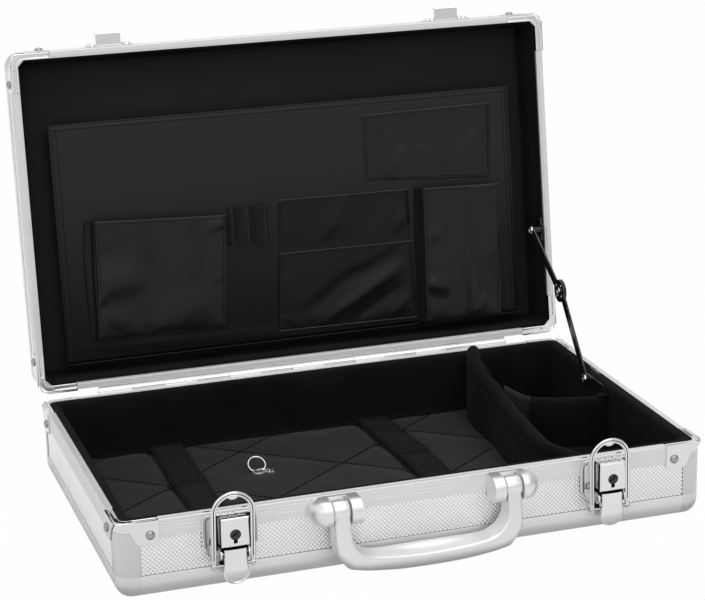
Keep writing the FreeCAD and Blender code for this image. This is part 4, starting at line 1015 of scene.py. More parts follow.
class CASE_OT_floor_pad(bpy.types.Operator):
    """Sew the quilted floor pad"""
    bl_idname = "case.floor_pad"
    bl_label = "Quilted Floor Pad"

    def execute(self, context):
        line = divider_line(120)[::-1]
        rows, columns = 74, 104
        y = np.linspace(-PAD_HALF, PAD_HALF, rows)
        right = np.interp(y, line[:, 1], line[:, 0]) - 5.6
        share = np.linspace(0, 1, columns)
        x = PAD_LEFT + (right[:, None] - PAD_LEFT) * share[None, :]
        y = np.broadcast_to(y[:, None], x.shape)
        seam = self.seam_distance(x, y)
        edge = np.minimum.reduce([x - PAD_LEFT, right[:, None] - x, y + PAD_HALF, PAD_HALF - y])
        held = (seam < 1.7) | (edge < 0.5)
        z = np.full(x.shape, 9.9) + 0.5 * (1 - np.exp(-(seam / 6.0) ** 2))
        z -= 1.4 * np.exp(-edge / 1.5)
        sheet = np.stack([x, y, z], -1)
        sheet = inflate(sheet, held, 3.0, (0, 0, 1), grow=0.004, bend=1.5, limit=2.4)
        for back, front in STRAP_ENDS.values():
            side = np.abs(sheet[..., 0] - strap_middle(back, front, sheet[..., 1]))
            sheet[..., 2] -= 3.0 / (1 + np.exp((side - 15.8) / 0.8))
        sheet[..., 2] = np.clip(sheet[..., 2], 8.3, 12.3)
        rim = np.concatenate([sheet[0], sheet[1:-1, -1], sheet[-1, ::-1], sheet[-2:0:-1, 0]])
        shape = Shape().grid(sheet)
        foot = rim.copy()
        foot[:, 2] = 8.2
        shape.grid(np.array([rim, foot]), (False, True))
        top = make("quilted_pad", shape, "quilt", "base", angle=50,
                   replaces=("floor_pad",))
        self.seams(sheet, right)
        return {"FINISHED"}

    def seam_distance(self, x, y):
        """Millimetres from each point to the nearest seam."""
        lean = math.hypot(1.0, QUILT_SLOPE)
        far = np.full(x.shape, 1e3)
        for offset, sign in ((QUILT_UP, -1), (QUILT_DOWN, 1)):
            level = (y + sign * QUILT_SLOPE * x - offset) / QUILT_STEP
            far = np.minimum(far, np.abs(level - np.round(level)) * QUILT_STEP / lean)
        return far

    def seams(self, sheet, right):
        """Stitches along every seam, as far as the pad's edges."""
        shape = Shape()
        levels = np.linspace(-PAD_HALF, PAD_HALF, len(right))
        for offset, sign in ((QUILT_UP, 1), (QUILT_DOWN, -1)):
            for k in range(-3, 4):
                run = []
                for x in np.arange(-209.0, 138.0, 2.0):
                    y = offset + k * QUILT_STEP + sign * QUILT_SLOPE * x
                    if abs(y) < 120 and x < np.interp(y, levels, right) - 2:
                        run.append((x, y))
                if len(run) > 3:
                    stitch_run(shape, drop_on(run, sheet, 0.12), (0, 0, 1), length=2.8,
                               pitch=3.9, radius=0.52)
        make("pad_stitches", shape, "thread", "base")


class CASE_OT_straps(bpy.types.Operator):
    """Lay the two webbing straps over the pad"""
    bl_idname = "case.straps"
    bl_label = "Floor Straps"

    def execute(self, context):
        for name, fold in (("left", 40.0), ("right", 36.0)):
            self.strap(name, *STRAP_ENDS[name], fold)
        return {"FINISHED"}

    def strap(self, name, back, front, fold):
        """One strap, doubled where its band is folded over, and its stitches."""
        y = np.concatenate([[121.0, 120.4, 119.4], np.linspace(118.0, -120.0, 70)])
        mid = strap_middle(back, front, y)
        z = 13.1 + 0.5 * np.sin(y / 19.0 + back) + 0.35 * np.sin(y / 7.3)
        z[:3] = (13.6, 13.4, 13.2)
        doubled = np.exp(-np.clip(np.abs(y - fold) - 6.5, 0, None) ** 2 / 0.8)
        z = z + 0.9 * doubled
        half = 13.2 + 0.9 * doubled
        across = np.linspace(-1, 1, 11)
        points = np.stack([mid[:, None] + half[:, None] * across,
                           np.broadcast_to(y[:, None], (len(y), 11)),
                           z[:, None] - 0.55 * across[None, :] ** 4], -1)
        strap = make("%s_strap" % name, Shape().grid(points), "webbing", "base",
                     thick=1.1, replaces=("floor_straps",) if name == "left" else ())
        shape = Shape()
        for side in (-0.86, 0.86):
            stitch_run(shape, [(m + h * side, yy, zz + 0.75) for m, h, yy, zz in
                               zip(mid[3:], half[3:], y[3:], z[3:])], (0, 0, 1), length=2.0,
                       pitch=3.0, radius=0.25)
        for yy in (fold - 4.5, fold + 4.5, 116.0):
            m = np.interp(-yy, -y, mid)
            zz = np.interp(-yy, -y, z)
            stitch_run(shape, [(m - 12.5, yy, zz + 0.8), (m + 12.5, yy, zz + 0.8)], (0, 0, 1),
                       length=2.0, pitch=2.8, radius=0.25)
        make("%s_strap_stitches" % name, shape, "thread", "base")


def slab_section(half, height, bulge=0.4, top=4.0):
    """Upright padded slab: (side, up) with a crowned top."""
    rows = [(-half, 0), (-half - bulge, height * 0.3), (-half - bulge, height * 0.7),
            (-half - bulge * 0.3, height - top)]
    arc = [(-(half) * math.cos(a), height - top + top * math.sin(a))
           for a in np.linspace(0.25, math.pi - 0.25, 7)]
    return np.array(rows + arc + [(-x, z) for x, z in reversed(rows)])


class CASE_OT_dividers(bpy.types.Operator):
    """Stand the padded dividers in the base"""
    bl_idname = "case.dividers"
    bl_label = "Padded Dividers"

    def execute(self, context):
        self.curved()
        self.cross()
        return {"FINISHED"}

    def curved(self):
        """The S-shaped wall between the main bay and the small ones."""
        line = divider_line(64)
        share = np.linspace(0, 1, 64)
        tall = 57.5 - 10.5 * np.clip((share - 0.08) / 0.3, 0, 1) + 0.5 * np.sin(share * 21.0)
        rings = []
        for k, (p, h) in enumerate(zip(line, tall)):
            ahead = line[min(k + 1, 63)] - line[max(k - 1, 0)]
            ahead /= np.linalg.norm(ahead)
            side = np.array([ahead[1], -ahead[0], 0])
            width = 5.1 + 0.25 * math.sin(k * 0.7)
            rings.append([p + side * s + np.array([0, 0, DIVIDER_FOOT + u])
                          for s, u in slab_section(width, h)])
        rings = np.array(rings)
        rings[..., 1] = np.clip(rings[..., 1], -122.5, 122.5)
        wall = make("curved_wall", Shape().tube(rings), "velvet", "base", angle=60,
                    replaces=("curved_divider",))
        self.flap(line)
        self.seam(line, tall)

    def flap(self, line):
        """Velvet end of the curved wall, turned over its top and down its right side."""
        rows = []
        for back in np.linspace(0, 1, 14):
            p = line[1 + int(back * 14)]
            length = 22.0 * math.sqrt(1 - 0.9 * back * back) + 2.0
            rows.append([(p[0] + 6.0, min(p[1], 122.0), 63.0 - back * 4.0 - length * t)
                         for t in np.linspace(0, 1, 6)])
        flap = make("divider_flap", Shape().grid(rows), "velvet", "base",
                    thick=1.3)

    def seam(self, line, tall):
        """Raised seam along the curved wall, below its crown."""
        shape = Shape()
        path = [(x - 5.4, y, DIVIDER_FOOT + h - 5.0)
                for (x, y, _), h in zip(line[2:-2], tall[2:-2])]
        shape.sweep(smooth_path(path, 120), circle(0.35, 5), up=(0, 0, 1))
        make("divider_seam", shape, "velvet", "base")

    def cross(self):
        """The straight wall between the two small bays."""
        start, end = np.array([141.0, 31.5, DIVIDER_FOOT]), np.array([211.6, 7.0, DIVIDER_FOOT])
        path = np.linspace(start, end, 24)
        sag = np.sin(np.linspace(0, math.pi, 24))
        path[:, 1] -= 1.2 * sag
        rings = swept(path, slab_section(3.6, CROSS_H, 0.3, 3.0))
        rings[..., 2] -= (0.6 * sag)[:, None] * (rings[..., 2] - DIVIDER_FOOT) / CROSS_H
        wall = make("cross_wall", Shape().tube(rings), "velvet", "base", angle=60,
                    replaces=("cross_divider",))
        self.knit(start, (end - start) / np.linalg.norm(end - start))
        self.tab()

    def knit(self, start, away):
        """Ribbed elastic sleeve over the straight wall's inner end."""
        ribs = 16
        rows = []
        for k in range(ribs * 2 + 1):
            share = k / (ribs * 2)
            swell = 1.05 + 0.10 * (k % 2) + 0.12 * math.sin(share * math.pi)
            place = start + away * (-8.0 + 21.0 * share)
            raised = 1 + 0.23 * max(1 - 1.15 * share, 0.0) ** 1.2
            ring = [place + np.array([-away[1], away[0], 0]) * s * swell
                    + np.array([0, 0, u * raised])
                    for s, u in slab_section(3.6, CROSS_H + 0.5 + 0.45 * (k % 2), 0.3, 3.0)]
            rows.append(ring)
        cap = make("cross_wall_knit", Shape().grid(rows, (False, True)), "knit", "base",
                   angle=70)

    def tab(self):
        """Small folded tab at the straight wall's outer end."""
        fold = [(204.5, 8.6, 49.9), (208.0, 7.4, 51.0), (211.2, 6.4, 51.2), (212.2, 6.2, 53.5),
                (212.1, 6.2, 56.2)]
        tab = Shape().grid([[(x, y - 3.5 + 7 * t, z) for t in np.linspace(0, 1, 4)]
                            for x, y, z in smooth_path(fold, 12)])
        piece = make("cross_wall_tab", tab, "velvet", "base", thick=0.9)


class CASE_OT_lid_lining(bpy.types.Operator):
    """Line the lid's walls with velvet and its face with cloth"""
    bl_idname = "case.lid_lining"
    bl_label = "Lid Lining"

    def execute(self, context):
        profile = [(5.8, 39.6), (5.8, 20.0), (5.8, 3.2), (6.2, 2.8), (6.8, 3.0), (7.2, 4.5),
                   (7.2, 16.0), (7.2, 27.5), (7.8, 29.6), (9.5, 30.6), (14.0, 31.0)]
        rings = rings_round(profile, HALF_W, HALF_D)
        shape = Shape().grid(rings, (False, True))
        walls = make("lid_velvet", shape, "velvet", "lid", LID, angle=60,
                     replaces=("lid_lining",))
        rows, columns = 60, 96
        reach_x, reach_y = HALF_W - 8.0, HALF_D - 8.0
        x = np.linspace(-reach_x, reach_x, columns)[None, :]
        y = np.linspace(-reach_y, reach_y, rows)[:, None]
        edge = np.minimum(reach_x - np.abs(x), reach_y - np.abs(y))
        z = 30.2 + 1.6 * np.exp(-edge / 2.6) + 0.15 * np.sin(x / 31.0 + y / 17.0)
        face = np.stack([x + 0 * y, y + 0 * x, z], -1)
        under = face[:, ::-1].copy()
        under[..., 2] = 39.5
        shape = Shape().grid(face)
        shape.grid(under)
        board = make("lid_face_cloth", shape, "lid_cloth", "lid", LID)
        return {"FINISHED"}


ORGANIZER = ((-196.0, -75.5), (198.5, -75.5), (198.5, 119.5), (-196.0, 119.5))
BOARD_H = 20.3                  # cloth face of the organizer, below the lid's rim
OUT = (0, 0, -1)                # towards the user, in the lid's own frame


class CASE_OT_organizer(bpy.types.Operator):
    """Sew the organizer board and the gusset it stands on"""
    bl_idname = "case.organizer"
    bl_label = "Organizer Board"

    def execute(self, context):
        face = patch(ORGANIZER, 60, 110, BOARD_H)
        x, y = face[..., 0], face[..., 1]
        face[..., 2] += 0.35 * np.sin(x / 47.0 + 0.6) * np.sin(y / 39.0)
        face[..., 2] += 0.30 * np.exp(-((y - 119.5) / 7.0) ** 2)
        face = creases(face, [(-190, 108, 30, 113, 3.2, 0.9), (-188, 116, 60, 118, 2.0, 0.5),
                              (-120, -70, 40, -60, 9.0, 0.35)])
        board = Shape().grid(face)
        made = make("organizer_board", board, "nylon", "lid", LID, thick=1.2,
                    replaces=("organizer_panel", "organizer_gusset"))
        self.binding(face)
        self.gusset()
        self.stitches(face)
        return {"FINISHED"}

    def binding(self, face):
        """Rolled hem round the board's edge."""
        shape = Shape()
        loop = np.concatenate([face[0], face[1:-1, -1], face[-1, ::-1], face[-2:0:-1, 0]])
        shape.sweep(loop, circle(0.95, 8), up=(0, 0, 1), closed=True)
        make("organizer_hem", shape, "nylon", "lid", LID)

    def gusset(self):
        """Pleated cloth walls between the board and the lid's face."""
        shape = Shape()
        for xs, ys in (((-195.0, -195.0), (-73.5, 119.0)), ((197.5, 197.5), (-73.5, 119.0)),
                       ((-195.0, 197.5), (118.6, 118.6))):
            rows = []
            for t in np.linspace(0, 1, 60):
                x, y = xs[0] + (xs[1] - xs[0]) * t, ys[0] + (ys[1] - ys[0]) * t
                fold = [(0.0, 21.0), (1.6, 23.0), (0.4, 25.3), (1.8, 27.6), (1.0, 30.0)]
                inward = -np.sign(x) if xs[0] == xs[1] else 0.0
                down = -1.0 if xs[0] != xs[1] else 0.0
                wave = 0.25 * math.sin(t * 23.0)
                rows.append([(x + inward * (a + wave), y + down * (a + wave), h)
                             for a, h in fold])
            shape.grid(rows)
        made = make("organizer_gussets", shape, "nylon", "lid", LID, thick=0.6)

    def stitches(self, face):
        """Stitches inside the board's edge, with a second row near its foot."""
        shape = Shape()
        for side, inset in (("t", 3.6), ("l", 5.2), ("r", 5.0), ("b", 3.0)):
            path = inset_path(face, side, inset, -0.75)
            stitch_run(shape, path[1:-1], OUT, length=1.9, pitch=2.9, radius=0.30)
        stitch_run(shape, drop_on([(-185 + 3 * k, 109.0 + 0.02 * k) for k in range(122)], face,
                                  -0.75), OUT, length=1.9, pitch=2.9, radius=0.30)
        make("organizer_stitches", shape, "thread", "lid", LID)


BELLOWS_H, BELLOWS_BACK = 10.6, 19.6        # front and back of the two deep pockets' walls
POCKETS = {
    # name: mouth left, mouth right, foot right, foot left; height; pressure; held sides
    "card": (((67.5, -62.5), (181.5, -64.0), (179.5, 0.0), (66.5, -7.5)), 19.2, 1.2, "lbr"),
    "centre_back": (((-10.5, 1.5), (104.0, 3.0), (104.5, 60.0), (-13.5, 60.0)), 19.2, 1.0, "lbr"),
    "centre_front": (((-13.0, 46.0), (104.2, 47.0), (105.0, 113.0), (-17.5, 111.5)), 18.4, 1.3,
                     "lbr"),
    "left_front": (((-167.0, 3.5), (-57.5, 8.5), (-65.0, 101.0), (-171.0, 99.5)), BELLOWS_H,
                   1.0, "lbr"),
    "right_front": (((114.5, 3.0), (183.5, 5.0), (179.5, 118.0), (111.5, 118.0)), BELLOWS_H,
                    1.2, "lbr"),
}
# Folds of each pocket, as creases() takes them.
CREASES = {
    "card": [(70, -58, 92, -24, 5, 1.5), (92, -12, 108, -36, 6, 1.8), (110, -34, 150, -14, 6, 1.5),
             (148, -16, 178, -44, 7, 1.6), (70, -40, 100, -60, 8, -0.9),
             (76, -22, 98, -6, 4, 0.8)],
    "centre_back": [(14, 58, 62, -12, 6, 1.7), (44, 60, 96, -10, 6, -1.3),
                    (66, 66, 112, 10, 6, 1.9), (88, 58, 108, 36, 4, -1.0),
                    (-8, 20, 16, 50, 8, 0.8)],
    "centre_front": [(0, 104, 66, 60, 6, -1.6), (40, 80, 106, 48, 6, -1.6),
                     (14, 112, 108, 60, 5, 2.6), (38, 115, 106, 78, 4, -1.2),
                     (74, 112, 106, 91, 4, 1.4), (-14, 60, 4, 96, 8, 0.6)],
    "left_front": [(-186, 62, -120, 48, 11, 2.2), (-172, 40, -130, 16, 8, -1.0),
                   (-141, -16, -122, 46, 6, 2.0), (-130, 96, -66, 70, 14, 1.8),
                   (-96, -8, -84, 70, 7, 2.0), (-80, 18, -52, 14, 4, 1.4),
                   (-168, 76, -140, 92, 8, 1.0)],
    "right_front": [(149, -8, 153, 124, 4.5, 2.4), (150, 58, 196, 64, 12, 1.7),
                    (172, 66, 175, 122, 5, -1.0),
                    (110, 40, 138, 43, 6, 1.4), (110, 84, 140, 89, 6, 1.6),
                    (148, 11, 186, 8, 3, 1.1), (150, 115, 174, 100, 4, 1.5)],
}


class CASE_OT_pockets(bpy.types.Operator):
    """Sew the organizer's pockets"""
    bl_idname = "case.pockets"
    bl_label = "Organizer Pockets"

    def execute(self, context):
        stands_for = {"card": ("card_pocket",), "centre_back": ("centre_pocket",),
                      "left_front": ("left_pocket",), "right_front": ("right_pocket",)}
        threads = Shape()
        for name, (corners, height, pressure, sides) in POCKETS.items():
            self.pocket(name, corners, height, pressure, sides, stands_for.get(name, ()),
                        threads)
        left, right = POCKETS["left_front"][0], POCKETS["right_front"][0]
        # The gussets take duller cloth than their pockets, the right one the straps' webbing, as
        # painted shade in their folds.
        self.gusset("left_gusset", left[0], left[3], -9.0, "centre_nylon")
        self.gusset("right_gusset", right[0], right[3], -6.0, "webbing")
        self.foot("left_foot", left[3], left[2])
        self.foot("right_foot", right[3], right[2])
        make("pocket_stitches", threads, "thread", "lid", LID)
        return {"FINISHED"}

    def pocket(self, name, corners, height, pressure, sides, nodes, threads):
        """One pocket: its cloth blown out and folded, its hem and its stitches."""
        rows, columns = 34, 44
        cloth = patch(corners, rows, columns, height)
        held = border(cloth.shape[:2], sides)
        held[0, 0] = held[0, -1] = True
        blown = inflate(cloth, held, pressure, OUT, grow=0.003, bend=8.0, limit=0.8)
        cloth = np.where(held[..., None], cloth, creases(blown, CREASES[name]))
        cloth[..., 2] = np.clip(cloth[..., 2], height - 5.5, height + 1.3)
        if name == "centre_back":       # its foot lies flat behind the pocket in front
            flat = np.clip((cloth[..., 1] - 24.0) / 20.0, 0, 1)
            cloth[..., 2] += (height - cloth[..., 2]) * flat * flat * (3 - 2 * flat)
        finish = "centre_nylon" if name.startswith("centre") else "pocket_nylon"
        piece = make("%s_pocket_cloth" % name, Shape().grid(cloth), finish, "lid",
                     LID, thick=0.45, subdivide=1, replaces=nodes)
        # The hem takes the lighter hem finish, a painted highlight.
        hem = Shape().sweep(cloth[0] + np.array([0, 0.2, -0.3]), circle(0.4, 8), up=(0, 0, 1))
        if name == "centre_front":
            hem.sweep(cloth[-1] + np.array([0, -0.2, -0.3]), circle(0.4, 8), up=(0, 0, 1))
        make("%s_pocket_hem" % name, hem, "hem", "lid", LID)
        for side in "lrb":
            path = inset_path(cloth, side, 2.2, 0.0)
            stitch_run(threads, drop_on(path[1:-1], cloth, -0.4), OUT, length=1.8, pitch=2.7,
                       radius=0.27)
        path = inset_path(cloth, "t", 2.4, 0.0)
        stitch_run(threads, drop_on(path, cloth, -0.4), OUT, length=1.8, pitch=2.9, radius=0.22)

    def gusset(self, name, mouth, foot, spread, finish):
        """Folded side wall from a pocket's face back to the board, seen from its mouth."""
        rows = []
        for t in np.linspace(0, 1, 40):
            x = mouth[0] + (foot[0] - mouth[0]) * t
            y = mouth[1] + (foot[1] - mouth[1]) * t
            wave = 0.5 * math.sin(t * 9.0)
            tuck = spread * (0.85 + 0.15 * math.sin(t * 5.0))
            rows.append([(x, y, BELLOWS_H), (x + tuck * 0.35, y, 13.2 + wave),
                         (x + tuck * 0.20, y, 15.6), (x + tuck * 0.8, y, 18.0 + 0.4 * wave),
                         (x + tuck, y, BELLOWS_BACK)])
        piece = make(name, Shape().grid(rows), finish, "lid", LID, thick=0.45,
                     subdivide=1)

    def foot(self, name, left, right):
        """Folded bottom wall from a pocket's face back to the board."""
        rows = []
        for t in np.linspace(0, 1, 40):
            x = left[0] + (right[0] - left[0]) * t
            y = left[1] + (right[1] - left[1]) * t
            rows.append([(x, y, BELLOWS_H), (x, y + 0.9, 13.0), (x, y - 0.3, 16.0),
                         (x, y + 0.8, BELLOWS_BACK)])
        piece = make(name, Shape().grid(rows), "pocket_nylon", "lid", LID, thick=0.45,
                     subdivide=1)


class CASE_OT_pen_loops(bpy.types.Operator):
    """Knit the elastic pen loops"""
    bl_idname = "case.pen_loops"
    bl_label = "Pen Loops"

    def execute(self, context):
        line = [(-55.0, 19.7), (-54.2, 16.0), (-52.6, 15.2), (-51.2, 17.5), (-50.4, 19.6),
                (-48.0, 19.6), (-46.2, 18.6), (-45.4, 14.6), (-43.2, 12.2), (-40.4, 12.5),
                (-38.4, 15.6), (-37.8, 19.4), (-33.8, 19.6), (-31.8, 18.6), (-30.6, 14.2),
                (-28.0, 12.0), (-24.6, 12.4), (-22.8, 16.0), (-22.3, 19.2), (-21.8, 17.0),
                (-21.0, 16.0), (-20.2, 17.6), (-20.0, 19.8)]
        band = smooth_path([(x, 0.0, h) for x, h in line], 120)
        ribs = 16
        rows = []
        for k in range(ribs * 4 + 1):
            y = 3.5 + 31.0 * k / (ribs * 4)
            swell = 0.5 * math.cos(k * math.pi / 2)
            ring = band.copy()
            ring[:, 1] = y
            ring[:, 2] = ring[:, 2] - swell * 1.1 * (19.8 - ring[:, 2]) / 8.0
            rows.append(ring)
        loops = make("pen_loop_knit", Shape().grid(rows), "knit", "lid", LID,
                     thick=0.9, replaces=("pen_loops",))
        shape = Shape()
        for x in (-54.6, -37.0, -20.8):
            stitch_run(shape, [(x, 4.0, 18.9), (x, 34.0, 18.9)], OUT, length=1.6, pitch=2.2,
                       radius=0.3)
        make("pen_loop_stitches", shape, "thread", "lid", LID)
        return {"FINISHED"}


# ------------------------------------------------------------------ hardware
LATCH_X = 144.0                 # middle of each latch plate, left or right of the handle
LOCK_SHIFT = 1.4                # lock and lever stand this far right of their plate's middle
TRIM_Y = -138.0                 # of the bright line round each latch plate
# Half of that line: x from the plate's middle, and height.
TRIM_LINE = [(19.2, 33.0), (19.2, 53.0), (17.4, 55.9), (15.0, 56.7)]
BAIL_AXIS = (-145.2, 21.3)      # y and z of the bails' pins
BAIL_TILT = 5.0                 # degrees the bails lean out from the case
PADDLE_Y = -147.3               # of the levers' faces
# How far the lever's face stands back at each height above its foot.
PADDLE_LEVELS = [0.0, 1.2, 2.6, 4.2, 6.0, 8.0, 10.2, 13.0, 17.5, 26.0]
PADDLE_SWELL = [2.7, 2.2, 1.5, 0.85, 0.35, -0.05, -0.3, -0.38, -0.2, 0.0]
HANDLE_AXIS = (-145.6, 50.0)    # y and z of the handle's pins


def rectangle(left, right, low, high):
    """Outline of a rectangle, for a prism."""
    return [(left, low), (right, low), (right, high), (left, high)]


def prism(shape, outline, low, high, axis=0):
    """Straight bar with a closed outline, between two stations along x, y or z."""
    outline = np.asarray(outline, float)
    return shape.tube([np.insert(outline, axis, level, axis=1) for level in (low, high)])


def dome(shape, seat, outward, radius, rise, sides=20):
    """Rivet dome on a seat, with a short upright edge."""
    out = np.asarray(outward, float)
    side = np.array([out[1], out[2], out[0]])
    side = np.cross(out, side)
    up = np.cross(out, side)
    rows = []
    for a in np.linspace(0.0, 1.0, 7):
        reach = radius * (1.0 if a == 0 else math.cos((a - 0.08) * math.pi / 2 * 0.98))
        lift = 0.0 if a == 0 else rise * math.sin(max(a - 0.08, 0.05) * math.pi / 2)
        rows.append([np.asarray(seat) + out * lift + reach * (side * math.cos(t) + up * math.sin(t))
                     for t in np.linspace(0, 2 * math.pi, sides, endpoint=False)])
    shape.grid(rows, (False, True))
    first = shape.count - sides
    shape.faces.append([first + k for k in range(sides)])
    return shape


class CASE_OT_rivets(bpy.types.Operator):
    """Set the domed rivets, and paint shade along the seams of the shell and in the rim's slots"""
    bl_idname = "case.rivets"
    bl_label = "Rivets and Seams"

    def execute(self, context):
        for part, height, place in (("base", BASE_H, None), ("lid", LID_H, LID)):
            shape = Shape()
            level = height - 10.5 if part == "base" else 10.5
            for sx in (-1, 1):
                for sy in (-1, 1):
                    dome(shape, (sx * (HALF_W - 24.5), sy * (HALF_D + 1.2), level), (0, sy, 0),
                         3.4, 2.0)
                    dome(shape, (sx * (HALF_W + 1.2), sy * (HALF_D - 24.5), level), (sx, 0, 0),
                         3.4, 2.0)
            make(part + "_rivet_domes", shape, "dark_chrome", part, place,
                 replaces=(part + "_rim_rivets",))
            self.seams(part, place)
        self.slots()
        return {"FINISHED"}

    def seams(self, part, place):
        """Thin dark lines of painted shade where the sheets enter the extrusions."""
        shape = Shape()
        low, high = (RAIL_H, BASE_H - RIM_H) if part == "base" else (RIM_H, LID_H - RAIL_H)
        x, y = HALF_W - 0.8, HALF_D - 0.8
        for z in (low + 0.12, high - 0.12):
            for s in (-1, 1):
                for axis, face, reach in ((0, s * y, HALF_W), (1, s * x, HALF_D)):
                    line = rectangle(face - 0.12 * s, face + 0.10 * s, z - 0.14, z + 0.14)
                    prism(shape, line, -reach + CORNER_L, reach - CORNER_L, axis)
        for sx in (-1, 1):
            for sy in (-1, 1):
                at_x, at_y = sx * (HALF_W - CORNER_L - 0.1), sy * (HALF_D - CORNER_L - 0.1)
                prism(shape, rectangle(at_x - 0.14, at_x + 0.14, sy * (y - 0.1), sy * (y + 0.1)),
                      low, high, 2)
                prism(shape, rectangle(sx * (x - 0.1), sx * (x + 0.1), at_y - 0.14, at_y + 0.14),
                      low, high, 2)
        make(part + "_sheet_seam_shade", shape, "joint", part, place)

    def slots(self):
        """Small punched slots in the rim beside each latch, drawn as bars of painted shade."""
        shape = Shape()
        for side in (-1, 1):
            for step in (-17.5, 10.0):
                x0 = side * LATCH_X + step
                prism(shape, rectangle(-HALF_D + 1.1, -HALF_D + 2.5, BASE_H - 0.1,
                                       BASE_H + 0.06), x0, x0 + 4.2)
        make("rim_slot_shade", shape, "shade", "base")


